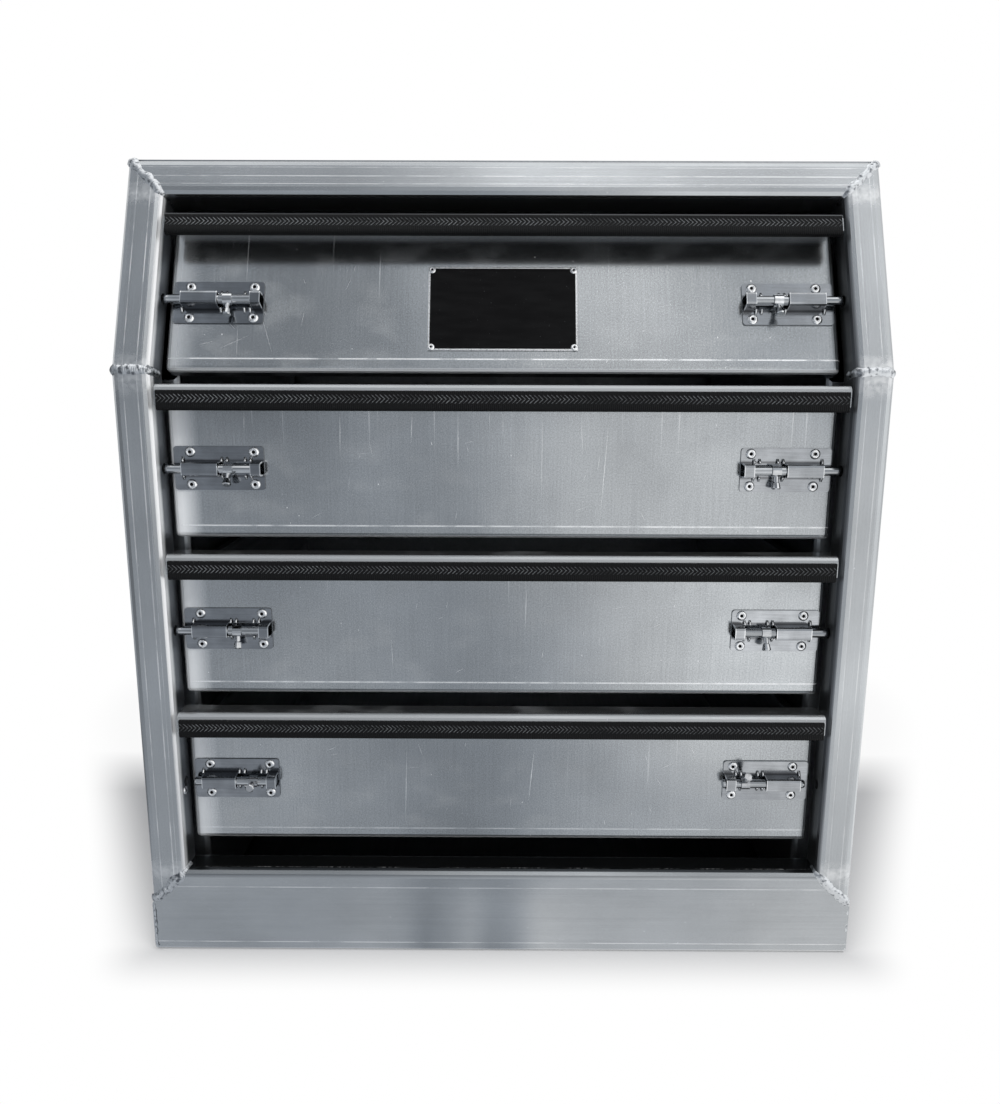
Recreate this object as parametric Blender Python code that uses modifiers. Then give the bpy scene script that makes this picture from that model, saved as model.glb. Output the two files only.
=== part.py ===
"""Four-drawer aluminium ute toolbox: a welded tube front frame that leans back above its kink, a folded
sheet carcass, four drawers on telescopic slides, and a pair of barrel bolts on each drawer front.

Metres, +Z up. The origin is the middle of the floor's underside, and the drawers open towards -Y."""

import math

import bmesh
import bpy
from mathutils import Matrix, Vector

# Clearances and cuts
GAP = 0.0003
OVERRUN = 0.010
FUSE = 0.0005
MERGE = 0.00001

# Cabinet
CABINET_WIDTH = 0.750
CABINET_DEPTH = 0.600
CABINET_HEIGHT = 0.827
LEAN_RISE = 0.2065
LEAN_SETBACK = 0.0824
SKIN = 0.0025
SKIN_FLANGE = 0.015
SKIN_BEND = 0.004

# Front frame tubes
TUBE_SIZE = 0.038
TUBE_WALL = 0.003
TUBE_CORNER = 0.0075
BOTTOM_RAIL_HEIGHT = 0.095

# Drawer fronts
DRAWER_COUNT = 4
LOWEST_FRONT = 0.1175
STACK_TOP_GAP = 0.0046
FRONT_SPACING = 0.0129
FRONT_SIDE_GAP = 0.003
FRONT_RECESS = 0.030
FRONT_SHEET = 0.0025
FRONT_RETURN = 0.015
FRONT_BEND = 0.005
LIP_BEND = 0.003
LIP_HEM = 0.020
RELIEF_MARGIN = 0.002
RELIEF_HEIGHT = 0.002

# Grip trim on the lip's hem
TRIM_HEIGHT = 0.0195
TRIM_THICKNESS = 0.009
TRIM_BELOW_LIP = 0.0055
TRIM_END_GAP = 0.002
TRIM_BOTTOM_ROUND = 0.0035
TRIM_TOP_ROUND = 0.0010

# Drawer boxes
BOX_SHEET = 0.0016
BOX_BELOW_FRONT = 0.0185
BOX_LIFT = 0.008
BOX_BACK = 0.548
BOX_RIM = 0.008
BOX_BEND = 0.003

# Slides
SLIDE_SPACE = 0.0127
SLIDE_HEIGHT = 0.045
SLIDE_WALL = 0.0012
SLIDE_LENGTH = 0.450
SLIDE_RISE = 0.030
SLIDE_SETBACK = 0.008
SLIDE_RUNNING_GAP = 0.0005
SLIDE_LIP = 0.0110
SLIDE_MIDDLE_WEB = 0.0030
SLIDE_INNER_LIP = 0.0060

# Slide carriers inside the cabinet
CARRIER_SETBACK = 0.054
CARRIER_LENGTH = 0.520
CARRIER_SHEET = 0.0025
CARRIER_BEND = 0.006
CARRIER_CLEARANCE = 0.0015
CARRIER_BOTTOM = 0.015
CARRIER_HEADROOM = 0.087

# Name plate on the top drawer, left blank
PLATE_WIDTH = 0.149
PLATE_HEIGHT = 0.089
PLATE_THICKNESS = 0.0012
PLATE_RISE = 0.0212
PLATE_ROUND = 0.002

# Barrel bolts, measured inwards from the plate's outer end
BOLT_LENGTH = 0.0905
BOLT_WIDTH = 0.044
BOLT_SHEET = 0.0015
BOLT_ROUND = 0.003
BOLT_EDGE_GAP = 0.0045
BOLT_RISE = 0.071
LONG_COVER_START = 0.011
LONG_COVER_LENGTH = 0.036
SHORT_COVER_LENGTH = 0.010
SHORT_COVER_INSET = 0.001
COVER_FOOT_SPREAD = 0.0012
COVER_ROUND = 0.0028
ROD_RADIUS = 0.0047
ROD_LENGTH = 0.088
ROD_TIP = 0.0032
ROD_AXIS_HEIGHT = 0.0085
ROD_CLEARANCE = 0.0004
ROD_REST_SHORT = 0.0005
KEEPER_HOLE_CLEARANCE = 0.001

# Bolt knobs
KNOB_FROM_PLATE_END = 0.057
COLLAR_LENGTH = 0.009
COLLAR_WALL = 0.0012
STEM_RADIUS = 0.0025
KNOB_REACH = 0.0185
HEAD_RADIUS = 0.0046
HEAD_NECK_RADIUS = 0.0034
HEAD_LENGTH = 0.0075
HEAD_ROUND = 0.0010

# Faces round each curve
CORNER_STEPS = 3
BEND_STEPS = 3
FINE_BEND_STEPS = 2
TIP_STEPS = 3
ROD_SIDES = 16
KNOB_SIDES = 12

# At rest, top drawer first, left and right: how far each rod is drawn back, and how many degrees each knob
# hangs down from straight out
RODS_DRAWN = ((0.0, 0.0), (0.0, 0.0), (0.0, 0.0), (0.008, 0.012))
KNOB_ANGLES = ((80.0, 70.0), (55.0, 78.0), (78.0, 66.0), (0.0, -48.0))

# Worked out from the values above
KINK_HEIGHT = CABINET_HEIGHT - LEAN_RISE
LEAN = math.atan2(LEAN_SETBACK, LEAN_RISE)
LEAN_LENGTH = math.hypot(LEAN_SETBACK, LEAN_RISE)
HALF_WIDTH = CABINET_WIDTH / 2
FRONT_Y = -CABINET_DEPTH / 2
BACK_Y = CABINET_DEPTH / 2
OPENING_HALF = HALF_WIDTH - TUBE_SIZE
FRONT_HALF = OPENING_HALF - FRONT_SIDE_GAP
CARRIER_INNER = FRONT_HALF - FRONT_SHEET - CARRIER_SHEET - CARRIER_CLEARANCE
CARRIER_FRONT = FRONT_Y + CARRIER_SETBACK
CARRIER_TOP = CABINET_HEIGHT - CARRIER_HEADROOM
STACK_TOP = CABINET_HEIGHT - TUBE_SIZE * math.cos(LEAN) - STACK_TOP_GAP
DRAWER_PITCH = (STACK_TOP - LOWEST_FRONT) / DRAWER_COUNT
FRONT_HEIGHT = DRAWER_PITCH - FRONT_SPACING
BOX_HEIGHT = FRONT_HEIGHT - BOX_LIFT - BOX_BELOW_FRONT
BOX_HALF = CARRIER_INNER - SLIDE_SPACE
MIDDLE_SLIDE_HEIGHT = SLIDE_HEIGHT - 2 * (SLIDE_WALL + SLIDE_RUNNING_GAP)
INNER_SLIDE_HEIGHT = MIDDLE_SLIDE_HEIGHT - 2 * (SLIDE_WALL + SLIDE_RUNNING_GAP)
ROD_REST = FRONT_SIDE_GAP + BOLT_EDGE_GAP - ROD_REST_SHORT
SIDES = (("left", -1), ("right", 1))

# Directions in the leaning front plane: up it, and square to it into the cabinet
LEAN_UP = Vector((0.0, math.sin(LEAN), math.cos(LEAN)))
LEAN_BACK = Vector((0.0, math.cos(LEAN), -math.sin(LEAN)))


def start_clean():
    for obj in list(bpy.data.objects):
        bpy.data.objects.remove(obj, do_unlink=True)


def collection_named(name):
    found = bpy.data.collections.new(name)
    bpy.context.scene.collection.children.link(found)
    return found


def material_named(name, colour, roughness, metallic):
    material = bpy.data.materials.new(name)
    material.use_nodes = True
    shader = material.node_tree.nodes["Principled BSDF"]
    shader.inputs["Base Color"].default_value = (*colour, 1.0)
    shader.inputs["Roughness"].default_value = roughness
    shader.inputs["Metallic"].default_value = metallic
    return material


# Making objects


def object_from_bmesh(name, bm, material):
    mesh = bpy.data.meshes.new(name)
    bm.to_mesh(mesh)
    bm.free()
    obj = bpy.data.objects.new(name, mesh)
    TOOLBOX.objects.link(obj)
    mesh.materials.append(material)
    return obj


def settled(obj):
    """Makes the object's mesh its final shape, with no modifiers left."""
    graph = bpy.context.evaluated_depsgraph_get()
    mesh = bpy.data.meshes.new_from_object(obj.evaluated_get(graph))
    obj.modifiers.clear()
    obj.data = mesh
    return obj


def smooth(obj, degrees=35.0):
    obj.data.shade_smooth()
    obj.data.set_sharp_from_angle(angle=math.radians(degrees))
    return obj


def combine(obj, other, operation):
    """Joins other to obj or cuts it from obj, then removes other."""
    bpy.context.view_layer.update()
    modifier = obj.modifiers.new(operation.lower(), "BOOLEAN")
    modifier.operation = operation
    modifier.solver = "EXACT"
    modifier.object = other
    settled(obj)
    bpy.data.objects.remove(other, do_unlink=True)
    return obj


def bake_place(obj, matrix):
    """Moves the mesh itself, so that it can be joined or cut in the cabinet's frame."""
    obj.data.transform(matrix)
    if matrix.determinant() < 0:
        obj.data.flip_normals()
    return obj


def axes(x, y, z, origin):
    """The matrix whose local axes point along x, y and z."""
    matrix = Matrix.Identity(4)
    for column, axis in enumerate((x, y, z)):
        for row in range(3):
            matrix[row][column] = axis[row]
    matrix.translation = Vector(origin)
    return matrix


def rounded(points, radii, steps=CORNER_STEPS):
    """The closed outline through points, each corner an arc. radii is one value, or one for each corner."""
    if not isinstance(radii, (tuple, list)):
        radii = [radii] * len(points)
    outline = []
    for i, radius in enumerate(radii):
        corner = Vector(points[i])
        if not radius:
            outline.append(corner)
            continue
        before = (Vector(points[i - 1]) - corner).normalized()
        after = (Vector(points[(i + 1) % len(points)]) - corner).normalized()
        half = before.angle(after) / 2
        centre = corner + (before + after).normalized() * (radius / math.sin(half))
        start = corner + before * (radius / math.tan(half)) - centre
        end = corner + after * (radius / math.tan(half)) - centre
        sweep = start.angle(end)
        for step in range(steps + 1):
            turned = sweep * step / steps
            mix = start * math.sin(sweep - turned) + end * math.sin(turned)
            outline.append(centre + mix / math.sin(sweep))
    return outline


def rectangle(width, height):
    x, y = width / 2, height / 2
    return [(-x, -y), (x, -y), (x, y), (-x, y)]


def extruded(name, loops, length, material):
    """A flat outline, with any further loops as holes in it, as a solid centred on its plane."""
    curve = bpy.data.curves.new(name, "CURVE")
    curve.dimensions = "2D"
    curve.fill_mode = "BOTH"
    curve.extrude = length / 2
    for loop in loops:
        spline = curve.splines.new("POLY")
        spline.points.add(len(loop) - 1)
        for target, point in zip(spline.points, loop):
            target.co = (point[0], point[1], 0.0, 1.0)
        spline.use_cyclic_u = True
    source = bpy.data.objects.new(name + "_outline", curve)
    TOOLBOX.objects.link(source)
    graph = bpy.context.evaluated_depsgraph_get()
    mesh = bpy.data.meshes.new_from_object(source.evaluated_get(graph))
    bpy.data.objects.remove(source, do_unlink=True)
    bm = bmesh.new()
    bm.from_mesh(mesh)
    bmesh.ops.remove_doubles(bm, verts=bm.verts, dist=MERGE)
    bmesh.ops.recalc_face_normals(bm, faces=bm.faces)
    bpy.data.meshes.remove(mesh)
    return object_from_bmesh(name, bm, material)


def block(name, low, high, material):
    """A plain box between two corners."""
    bm = bmesh.new()
    bmesh.ops.create_cube(bm, size=1.0)
    bmesh.ops.scale(bm, vec=Vector(high) - Vector(low), verts=bm.verts)
    bmesh.ops.translate(bm, vec=(Vector(low) + Vector(high)) / 2, verts=bm.verts)
    return object_from_bmesh(name, bm, material)


def turned(name, profile, sides, material):
    """A profile of (distance along X, radius) turned round the X axis."""
    bm = bmesh.new()
    verts = [bm.verts.new((along, 0.0, radius)) for along, radius in profile]
    for first, second in zip(verts, verts[1:]):
        bm.edges.new((first, second))
    obj = object_from_bmesh(name, bm, material)
    screw = obj.modifiers.new("turn", "SCREW")
    screw.axis = "X"
    screw.steps = sides
    screw.render_steps = sides
    screw.use_merge_vertices = True
    screw.merge_threshold = MERGE
    settled(obj)
    bm = bmesh.new()
    bm.from_mesh(obj.data)
    bmesh.ops.recalc_face_normals(bm, faces=bm.faces)
    bm.to_mesh(obj.data)
    bm.free()
    return obj


def as_cutter(obj, matrix):
    """Hides a solid and sets it in place, for a Boolean cut."""
    TOOLBOX.objects.unlink(obj)
    CUTTERS.objects.link(obj)
    obj.hide_render = True
    obj.display_type = "WIRE"
    obj.matrix_world = matrix
    return obj


def cut_beyond(obj, point, normal):
    """Cuts obj off past the plane through point, on the side that normal points to."""
    reach = math.hypot(CABINET_WIDTH, CABINET_HEIGHT)
    place = Vector((0, 0, 1)).rotation_difference(normal).to_matrix().to_4x4()
    place.translation = Vector(point) + normal * reach
    cutter = block(obj.name + "_cut", [-reach] * 3, [reach] * 3, FRAME_METAL)
    return combine(obj, as_cutter(cutter, place), "DIFFERENCE")


# Folded sheet: an open surface is flanged, its folds are bent, and it is given its thickness


def flanged(bm, edges, move):
    """Extrudes the edges as one strip, and moves each new point by move(point)."""
    made = bmesh.ops.extrude_edge_only(bm, edges=edges)["geom"]
    for vert in (item for item in made if isinstance(item, bmesh.types.BMVert)):
        vert.co += move(vert.co)
    return [item for item in made if isinstance(item, bmesh.types.BMEdge) and item.is_boundary]


def near(a, b):
    return abs(a - b) < MERGE


def level(edge, axis, value):
    """Whether both ends of the edge have this coordinate."""
    return all(near(vert.co[axis], value) for vert in edge.verts)


def folds_of(bm):
    return [edge for edge in bm.edges if len(edge.link_faces) == 2]


def bend(bm, edges, radius, steps=BEND_STEPS):
    bmesh.ops.bevel(bm, geom=edges, offset=radius, segments=steps, profile=0.5, affect="EDGES")


def sheet(name, bm, thickness, outwards, material):
    """Thickens the surface away from outwards, the way that its largest face looks at the world."""
    bmesh.ops.recalc_face_normals(bm, faces=bm.faces)
    face = max(bm.faces, key=lambda item: item.calc_area())
    looks_out = face.normal.dot(Vector(outwards)) > 0
    obj = object_from_bmesh(name, bm, material)
    modifier = obj.modifiers.new("sheet", "SOLIDIFY")
    modifier.thickness = thickness
    modifier.offset = -1.0 if looks_out else 1.0
    modifier.use_even_offset = True
    bpy.context.view_layer.update()
    return settled(obj)


# The leaning front


def leaning(along, behind):
    """(y, z) of a point this far up the leaning front plane from the kink, and this far behind the plane."""
    point = Vector((0.0, FRONT_Y, KINK_HEIGHT)) + LEAN_UP * along + LEAN_BACK * behind
    return point.y, point.z


def over_top_rail(height):
    """Y of the place where the top rail's upper face falls a gap below this height."""
    tip_y, tip_z = leaning(LEAN_LENGTH + GAP, 0.0)
    return tip_y + (tip_z - height) / math.tan(LEAN)


def kink(behind):
    """(y, z) of the kink, this far behind the front plane both below and above it."""
    return FRONT_Y + behind, KINK_HEIGHT - behind * math.tan(LEAN / 2)


def box_tube(name, length, matrix):
    """A straight square tube along local Z, set in the cabinet's frame."""
    outer = rounded(rectangle(TUBE_SIZE, TUBE_SIZE), TUBE_CORNER)
    bore = TUBE_SIZE - 2 * TUBE_WALL
    inner = rounded(rectangle(bore, bore), TUBE_CORNER - TUBE_WALL)
    return bake_place(extruded(name, [outer, inner], length, FRAME_METAL), matrix)


def kink_normal():
    """The mitre plane at the kink halves the angle between the stiles, and this points up from it."""
    return Vector((0.0, math.sin(LEAN / 2), math.cos(LEAN / 2)))


def top_corner(side):
    """The outer top corner of the frame, and the direction from its mitre plane into the top rail."""
    y, z = leaning(LEAN_LENGTH, 0.0)
    return Vector((side * HALF_WIDTH, y, z)), (LEAN_UP - Vector((side, 0.0, 0.0))).normalized()


def bottom_corner(side):
    """The inner bottom corner of the frame, and the direction from its mitre plane into the stile."""
    corner = Vector((side * OPENING_HALF, FRONT_Y, BOTTOM_RAIL_HEIGHT))
    return corner, Vector((side, 0.0, 1.0)).normalized()


def lower_stile(word, side):
    middle = (side * (HALF_WIDTH - TUBE_SIZE / 2), FRONT_Y + TUBE_SIZE / 2, KINK_HEIGHT / 2)
    place = axes((1, 0, 0), (0, 1, 0), (0, 0, 1), middle)
    tube = box_tube(f"front_stile_lower_{word}", KINK_HEIGHT + 2 * OVERRUN, place)
    cut_beyond(tube, Vector((0.0, FRONT_Y, KINK_HEIGHT)) - kink_normal() * (GAP / 2), kink_normal())
    corner, normal = bottom_corner(side)
    return cut_beyond(tube, corner + normal * (GAP / 2), -normal)


def upper_stile(word, side):
    y, z = leaning(LEAN_LENGTH / 2, TUBE_SIZE / 2)
    middle = (side * (HALF_WIDTH - TUBE_SIZE / 2), y, z)
    place = axes((1, 0, 0), LEAN_BACK, LEAN_UP, middle)
    tube = box_tube(f"front_stile_upper_{word}", LEAN_LENGTH + 2 * TUBE_SIZE, place)
    cut_beyond(tube, Vector((0.0, FRONT_Y, KINK_HEIGHT)) + kink_normal() * (GAP / 2), -kink_normal())
    corner, normal = top_corner(side)
    return cut_beyond(tube, corner - normal * (GAP / 2), normal)


def top_rail():
    y, z = leaning(LEAN_LENGTH - TUBE_SIZE / 2, TUBE_SIZE / 2)
    place = axes(LEAN_BACK, LEAN_UP, (1, 0, 0), (0.0, y, z))
    tube = box_tube("front_top_rail", CABINET_WIDTH + 2 * OVERRUN, place)
    for _, side in SIDES:
        corner, normal = top_corner(side)
        cut_beyond(tube, corner + normal * (GAP / 2), -normal)
    return tube


def bottom_rail():
    """The deep rail has closed ends, and its upper corners are mitred to the stiles."""
    middle = (0.0, FRONT_Y + TUBE_SIZE / 2, BOTTOM_RAIL_HEIGHT / 2)
    place = axes((0, 1, 0), (0, 0, 1), (1, 0, 0), middle)
    outer = rounded(rectangle(TUBE_SIZE, BOTTOM_RAIL_HEIGHT), TUBE_CORNER)
    rail = bake_place(extruded("front_bottom_rail", [outer], CABINET_WIDTH, FRAME_METAL), place)
    bore = rectangle(TUBE_SIZE - 2 * TUBE_WALL, BOTTOM_RAIL_HEIGHT - 2 * TUBE_WALL)
    inner = rounded(bore, TUBE_CORNER - TUBE_WALL)
    core = extruded("rail_core", [inner], CABINET_WIDTH - 2 * TUBE_WALL, FRAME_METAL)
    combine(rail, as_cutter(core, place), "DIFFERENCE")
    for _, side in SIDES:
        corner, normal = bottom_corner(side)
        cut_beyond(rail, corner - normal * (GAP / 2), normal)
    return rail


# Carcass


def side_panel(word, side):
    """The outer side, flanged inwards along its top, back and bottom for the sheets that close them."""
    top = CABINET_HEIGHT - SKIN - GAP
    back = BACK_Y - SKIN - GAP
    bottom = SKIN + GAP
    outline = [
        (FRONT_Y + TUBE_SIZE + GAP, bottom),
        kink(TUBE_SIZE + GAP),
        leaning(LEAN_LENGTH + GAP, TUBE_SIZE + GAP),
        (over_top_rail(top - SKIN), top),
        (back, top),
        (back, bottom),
    ]
    bm = bmesh.new()
    bm.faces.new([bm.verts.new((side * HALF_WIDTH, y, z)) for y, z in outline])
    turned_in = [
        edge for edge in bm.edges if level(edge, 2, top) or level(edge, 1, back) or level(edge, 2, bottom)
    ]
    flanged(bm, turned_in, lambda point: Vector((-side * SKIN_FLANGE, 0.0, 0.0)))
    bend(bm, folds_of(bm), SKIN_BEND, FINE_BEND_STEPS)
    return smooth(sheet(f"side_panel_{word}", bm, SKIN, (side, 0, 0), SKIN_METAL))


def flat_panels():
    block(
        "floor_panel",
        (-HALF_WIDTH, FRONT_Y + TUBE_SIZE + GAP, 0.0),
        (HALF_WIDTH, BACK_Y, SKIN),
        SKIN_METAL,
    )
    block(
        "roof_panel",
        (-HALF_WIDTH, over_top_rail(CABINET_HEIGHT - SKIN), CABINET_HEIGHT - SKIN),
        (HALF_WIDTH, BACK_Y, CABINET_HEIGHT),
        SKIN_METAL,
    )
    block(
        "back_panel",
        (-HALF_WIDTH, BACK_Y - SKIN, SKIN + GAP),
        (HALF_WIDTH, BACK_Y, CABINET_HEIGHT - SKIN - GAP),
        SKIN_METAL,
    )


# Slides


def channel(name, web_at, lips_at, height):
    """A C section along local Z. Its web starts at web_at, and its two lips reach lips_at, along local X."""
    half = height / 2
    wall = math.copysign(SLIDE_WALL, lips_at - web_at)
    outline = [
        (lips_at, half),
        (web_at, half),
        (web_at, -half),
        (lips_at, -half),
        (lips_at, -half + SLIDE_WALL),
        (web_at + wall, -half + SLIDE_WALL),
        (web_at + wall, half - SLIDE_WALL),
        (lips_at, half - SLIDE_WALL),
    ]
    return extruded(name, [outline], SLIDE_LENGTH, SLIDE_METAL)


def front_bottom(index):
    """Height of a drawer front's lower edge. Drawer 0 is the top one."""
    return LOWEST_FRONT + (DRAWER_COUNT - 1 - index) * DRAWER_PITCH


def slide_height(index):
    return front_bottom(index) + BOX_LIFT + SLIDE_RISE


def slide_front(index):
    """Y of a slide's front end, behind the carrier's front bend and, higher up, behind its leaning edge."""
    above_kink = slide_height(index) + SLIDE_HEIGHT / 2 - kink(CARRIER_SETBACK)[1]
    return CARRIER_FRONT + SLIDE_SETBACK + max(0.0, above_kink) * math.tan(LEAN)


def slide_place(side, index):
    """Local X from the carrier's face to the drawer, local Y up, local Z along the cabinet's depth."""
    middle = slide_front(index) + SLIDE_LENGTH / 2
    origin = (side * CARRIER_INNER, middle, slide_height(index))
    return axes((-side, 0, 0), (0, 0, 1), (0, side, 0), origin)


def slide_carrier(word, side):
    """The folded sheet that the fixed slide members are welded to, flanged out to the cabinet's side."""
    back = CARRIER_FRONT + CARRIER_LENGTH
    kink_y, kink_z = kink(CARRIER_SETBACK)
    outline = [
        (CARRIER_FRONT, CARRIER_BOTTOM),
        (kink_y, kink_z),
        (kink_y + (CARRIER_TOP - kink_z) * math.tan(LEAN), CARRIER_TOP),
        (back, CARRIER_TOP),
        (back, CARRIER_BOTTOM),
    ]
    bm = bmesh.new()
    bm.faces.new([bm.verts.new((side * CARRIER_INNER, y, z)) for y, z in outline])
    reach = HALF_WIDTH - SKIN - GAP - CARRIER_INNER
    turned_out = [edge for edge in bm.edges if level(edge, 1, CARRIER_FRONT) or level(edge, 1, back)]
    flanged(bm, turned_out, lambda point: Vector((side * reach, 0.0, 0.0)))
    bend(bm, folds_of(bm), CARRIER_BEND)
    carrier = sheet(f"slide_carrier_{word}", bm, CARRIER_SHEET, (-side, 0, 0), SKIN_METAL)
    for index in range(DRAWER_COUNT):
        member = channel("fixed_member", -FUSE, SLIDE_LIP, SLIDE_HEIGHT)
        combine(carrier, bake_place(member, slide_place(side, index)), "UNION")
    return smooth(carrier)


def middle_slide(word, side, index, parent):
    """The member between the carrier's and the drawer's, which travels half as far as the drawer."""
    name = f"drawer_{index + 1}_slide_{word}"
    member = channel(name, SLIDE_MIDDLE_WEB, SLIDE_LIP + SLIDE_RUNNING_GAP, MIDDLE_SLIDE_HEIGHT)
    return parented(bake_place(member, slide_place(side, index)), parent)


# Drawers


def empty_at(name, matrix, parent=None):
    obj = bpy.data.objects.new(name, None)
    TOOLBOX.objects.link(obj)
    obj.parent = parent
    obj.matrix_basis = matrix
    return obj


def parented(obj, parent):
    """Hangs obj on parent where it already stands."""
    bpy.context.view_layer.update()
    obj.parent = parent
    obj.matrix_parent_inverse = parent.matrix_world.inverted()
    return obj


def front_place(index):
    """The frame of a drawer front: the middle of its lower edge, +Y behind it, +Z up its face."""
    if front_bottom(index) < kink(FRONT_RECESS)[1]:
        return Matrix.Translation((0.0, FRONT_Y + FRONT_RECESS, front_bottom(index)))
    start = leaning(0.0, FRONT_RECESS)
    along = (front_bottom(index) - start[1]) / math.cos(LEAN)
    return axes((1, 0, 0), LEAN_BACK, LEAN_UP, (0.0, *leaning(along, FRONT_RECESS)))


def front_lean(index):
    """How far a drawer front leans back for each unit of height."""
    return math.tan(LEAN) if front_place(index).to_3x3().col[2].y > 0 else 0.0


def drawer_front(name, parent):
    """A face with its sides and bottom turned back, and a lip that reaches forward and turns down. A notch
    in each side frees the lip's bend from the side's."""
    lip_under = FRONT_HEIGHT - FRONT_SHEET
    hem_inside = -(FRONT_RECESS - FRONT_SHEET)
    notch_top = lip_under - LIP_BEND - RELIEF_MARGIN
    notch_bottom = notch_top - RELIEF_HEIGHT
    notch_end = FRONT_HALF - FRONT_BEND - RELIEF_MARGIN
    right = [
        (FRONT_HALF, 0.0),
        (FRONT_HALF, notch_bottom),
        (notch_end, notch_bottom),
        (notch_end, notch_top),
        (FRONT_HALF, notch_top),
        (FRONT_HALF, lip_under),
    ]
    left = [(-x, z) for x, z in reversed(right)]
    bm = bmesh.new()
    bm.faces.new([bm.verts.new((x, 0.0, z)) for x, z in right + left])
    top = [edge for edge in bm.edges if level(edge, 2, lip_under)]
    below_notch = [edge for edge in bm.edges if max(vert.co.z for vert in edge.verts) < notch_bottom + MERGE]
    turned_back = [edge for edge in below_notch if level(edge, 2, 0.0) or not level(edge, 2, notch_bottom)]
    flanged(bm, turned_back, lambda point: Vector((0.0, FRONT_RETURN, 0.0)))
    lip = flanged(bm, top, lambda point: Vector((0.0, hem_inside, 0.0)))
    lip_end = [edge for edge in lip if level(edge, 1, hem_inside)]
    flanged(bm, lip_end, lambda point: Vector((0.0, 0.0, -(LIP_HEM - FRONT_SHEET))))
    bend(bm, [edge for edge in folds_of(bm) if not level(edge, 2, lip_under)], FRONT_BEND)
    bend(bm, [edge for edge in folds_of(bm) if level(edge, 2, lip_under)], LIP_BEND)
    obj = sheet(name, bm, FRONT_SHEET, (0, -1, 0), DRAWER_METAL)
    obj.parent = parent
    return smooth(obj)


def grip_trim(name, parent):
    """The edge strip pushed up over the hem, with a slot for the sheet."""
    half = TRIM_THICKNESS / 2
    slot = FRONT_SHEET / 2 + GAP
    slot_end = TRIM_HEIGHT - (LIP_HEM - TRIM_BELOW_LIP) - GAP
    corners = [
        (-half, 0.0),
        (half, 0.0),
        (half, TRIM_HEIGHT),
        (slot, TRIM_HEIGHT),
        (slot, slot_end),
        (-slot, slot_end),
        (-slot, TRIM_HEIGHT),
        (-half, TRIM_HEIGHT),
    ]
    radii = [TRIM_BOTTOM_ROUND, TRIM_BOTTOM_ROUND, TRIM_TOP_ROUND, 0, 0, 0, 0, TRIM_TOP_ROUND]
    obj = extruded(name, [rounded(corners, radii)], 2 * (FRONT_HALF - TRIM_END_GAP), RUBBER)
    hem_middle = -(FRONT_RECESS - FRONT_SHEET / 2)
    bottom = FRONT_HEIGHT - TRIM_BELOW_LIP - TRIM_HEIGHT
    bake_place(obj, axes((0, 1, 0), (0, 0, 1), (1, 0, 0), (0.0, hem_middle, bottom)))
    obj.parent = parent
    return smooth(obj)


def name_plate(name, parent):
    outline = rounded(rectangle(PLATE_WIDTH, PLATE_HEIGHT), PLATE_ROUND)
    obj = extruded(name, [outline], PLATE_THICKNESS, BLACK_PLATE)
    middle = (0.0, -(GAP + PLATE_THICKNESS / 2), PLATE_RISE + PLATE_HEIGHT / 2)
    bake_place(obj, axes((1, 0, 0), (0, 0, 1), (0, -1, 0), middle))
    obj.parent = parent
    return smooth(obj)


def drawer_box(index, parent):
    """The open box behind a front, rimmed outwards, with the drawer's slide members on its sides."""
    lean = front_lean(index)
    place = front_place(index)
    behind = (FRONT_SHEET + GAP) * math.hypot(1, lean)
    rim_start = 2 * BOX_SHEET * lean
    front = place.translation.y + behind + BOX_LIFT * lean
    top_front = front + BOX_HEIGHT * lean
    back = FRONT_Y + BOX_BACK
    bottom = front_bottom(index) + BOX_LIFT
    corners = [(-BOX_HALF, front), (BOX_HALF, front), (BOX_HALF, back), (-BOX_HALF, back)]
    bm = bmesh.new()
    bm.faces.new([bm.verts.new((x, y, bottom)) for x, y in corners])

    def wall(point):
        return Vector((0.0, BOX_HEIGHT * lean if near(point.y, front) else 0.0, BOX_HEIGHT))

    def rim(point):
        return Vector((math.copysign(BOX_RIM, point.x), BOX_RIM if near(point.y, back) else rim_start, 0.0))

    walls_top = flanged(bm, list(bm.edges), wall)
    flanged(bm, [edge for edge in walls_top if not level(edge, 1, top_front)], rim)
    bend(bm, folds_of(bm), BOX_BEND, FINE_BEND_STEPS)
    box = sheet(f"drawer_{index + 1}_box", bm, BOX_SHEET, (0, 0, -1), DRAWER_METAL)
    for _, side in SIDES:
        member = channel("drawer_member", SLIDE_SPACE + FUSE, SLIDE_INNER_LIP, INNER_SLIDE_HEIGHT)
        combine(box, bake_place(member, slide_place(side, index)), "UNION")
    return parented(smooth(box), parent)


# Barrel bolts: local X points at the stile from the plate's outer end, local Z out of the drawer front


def bolt_cover(start, length):
    """A folded strap over the rod, its feet spread on the plate."""
    inside = ROD_RADIUS + ROD_CLEARANCE
    outside = inside + BOLT_SHEET
    foot = outside + COVER_FOOT_SPREAD
    base = BOLT_SHEET - FUSE
    corners = [
        (-foot, base),
        (-outside, ROD_AXIS_HEIGHT + outside),
        (outside, ROD_AXIS_HEIGHT + outside),
        (foot, base),
        (foot - BOLT_SHEET, base),
        (inside, ROD_AXIS_HEIGHT + inside),
        (-inside, ROD_AXIS_HEIGHT + inside),
        (-foot + BOLT_SHEET, base),
    ]
    inner_round = COVER_ROUND - BOLT_SHEET
    radii = [0, COVER_ROUND, COVER_ROUND, 0, 0, inner_round, inner_round, 0]
    cover = extruded("bolt_cover", [rounded(corners, radii, FINE_BEND_STEPS)], length, BOLT_STEEL)
    return bake_place(cover, axes((0, 1, 0), (0, 0, 1), (1, 0, 0), (-start - length / 2, 0.0, 0.0)))


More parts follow.
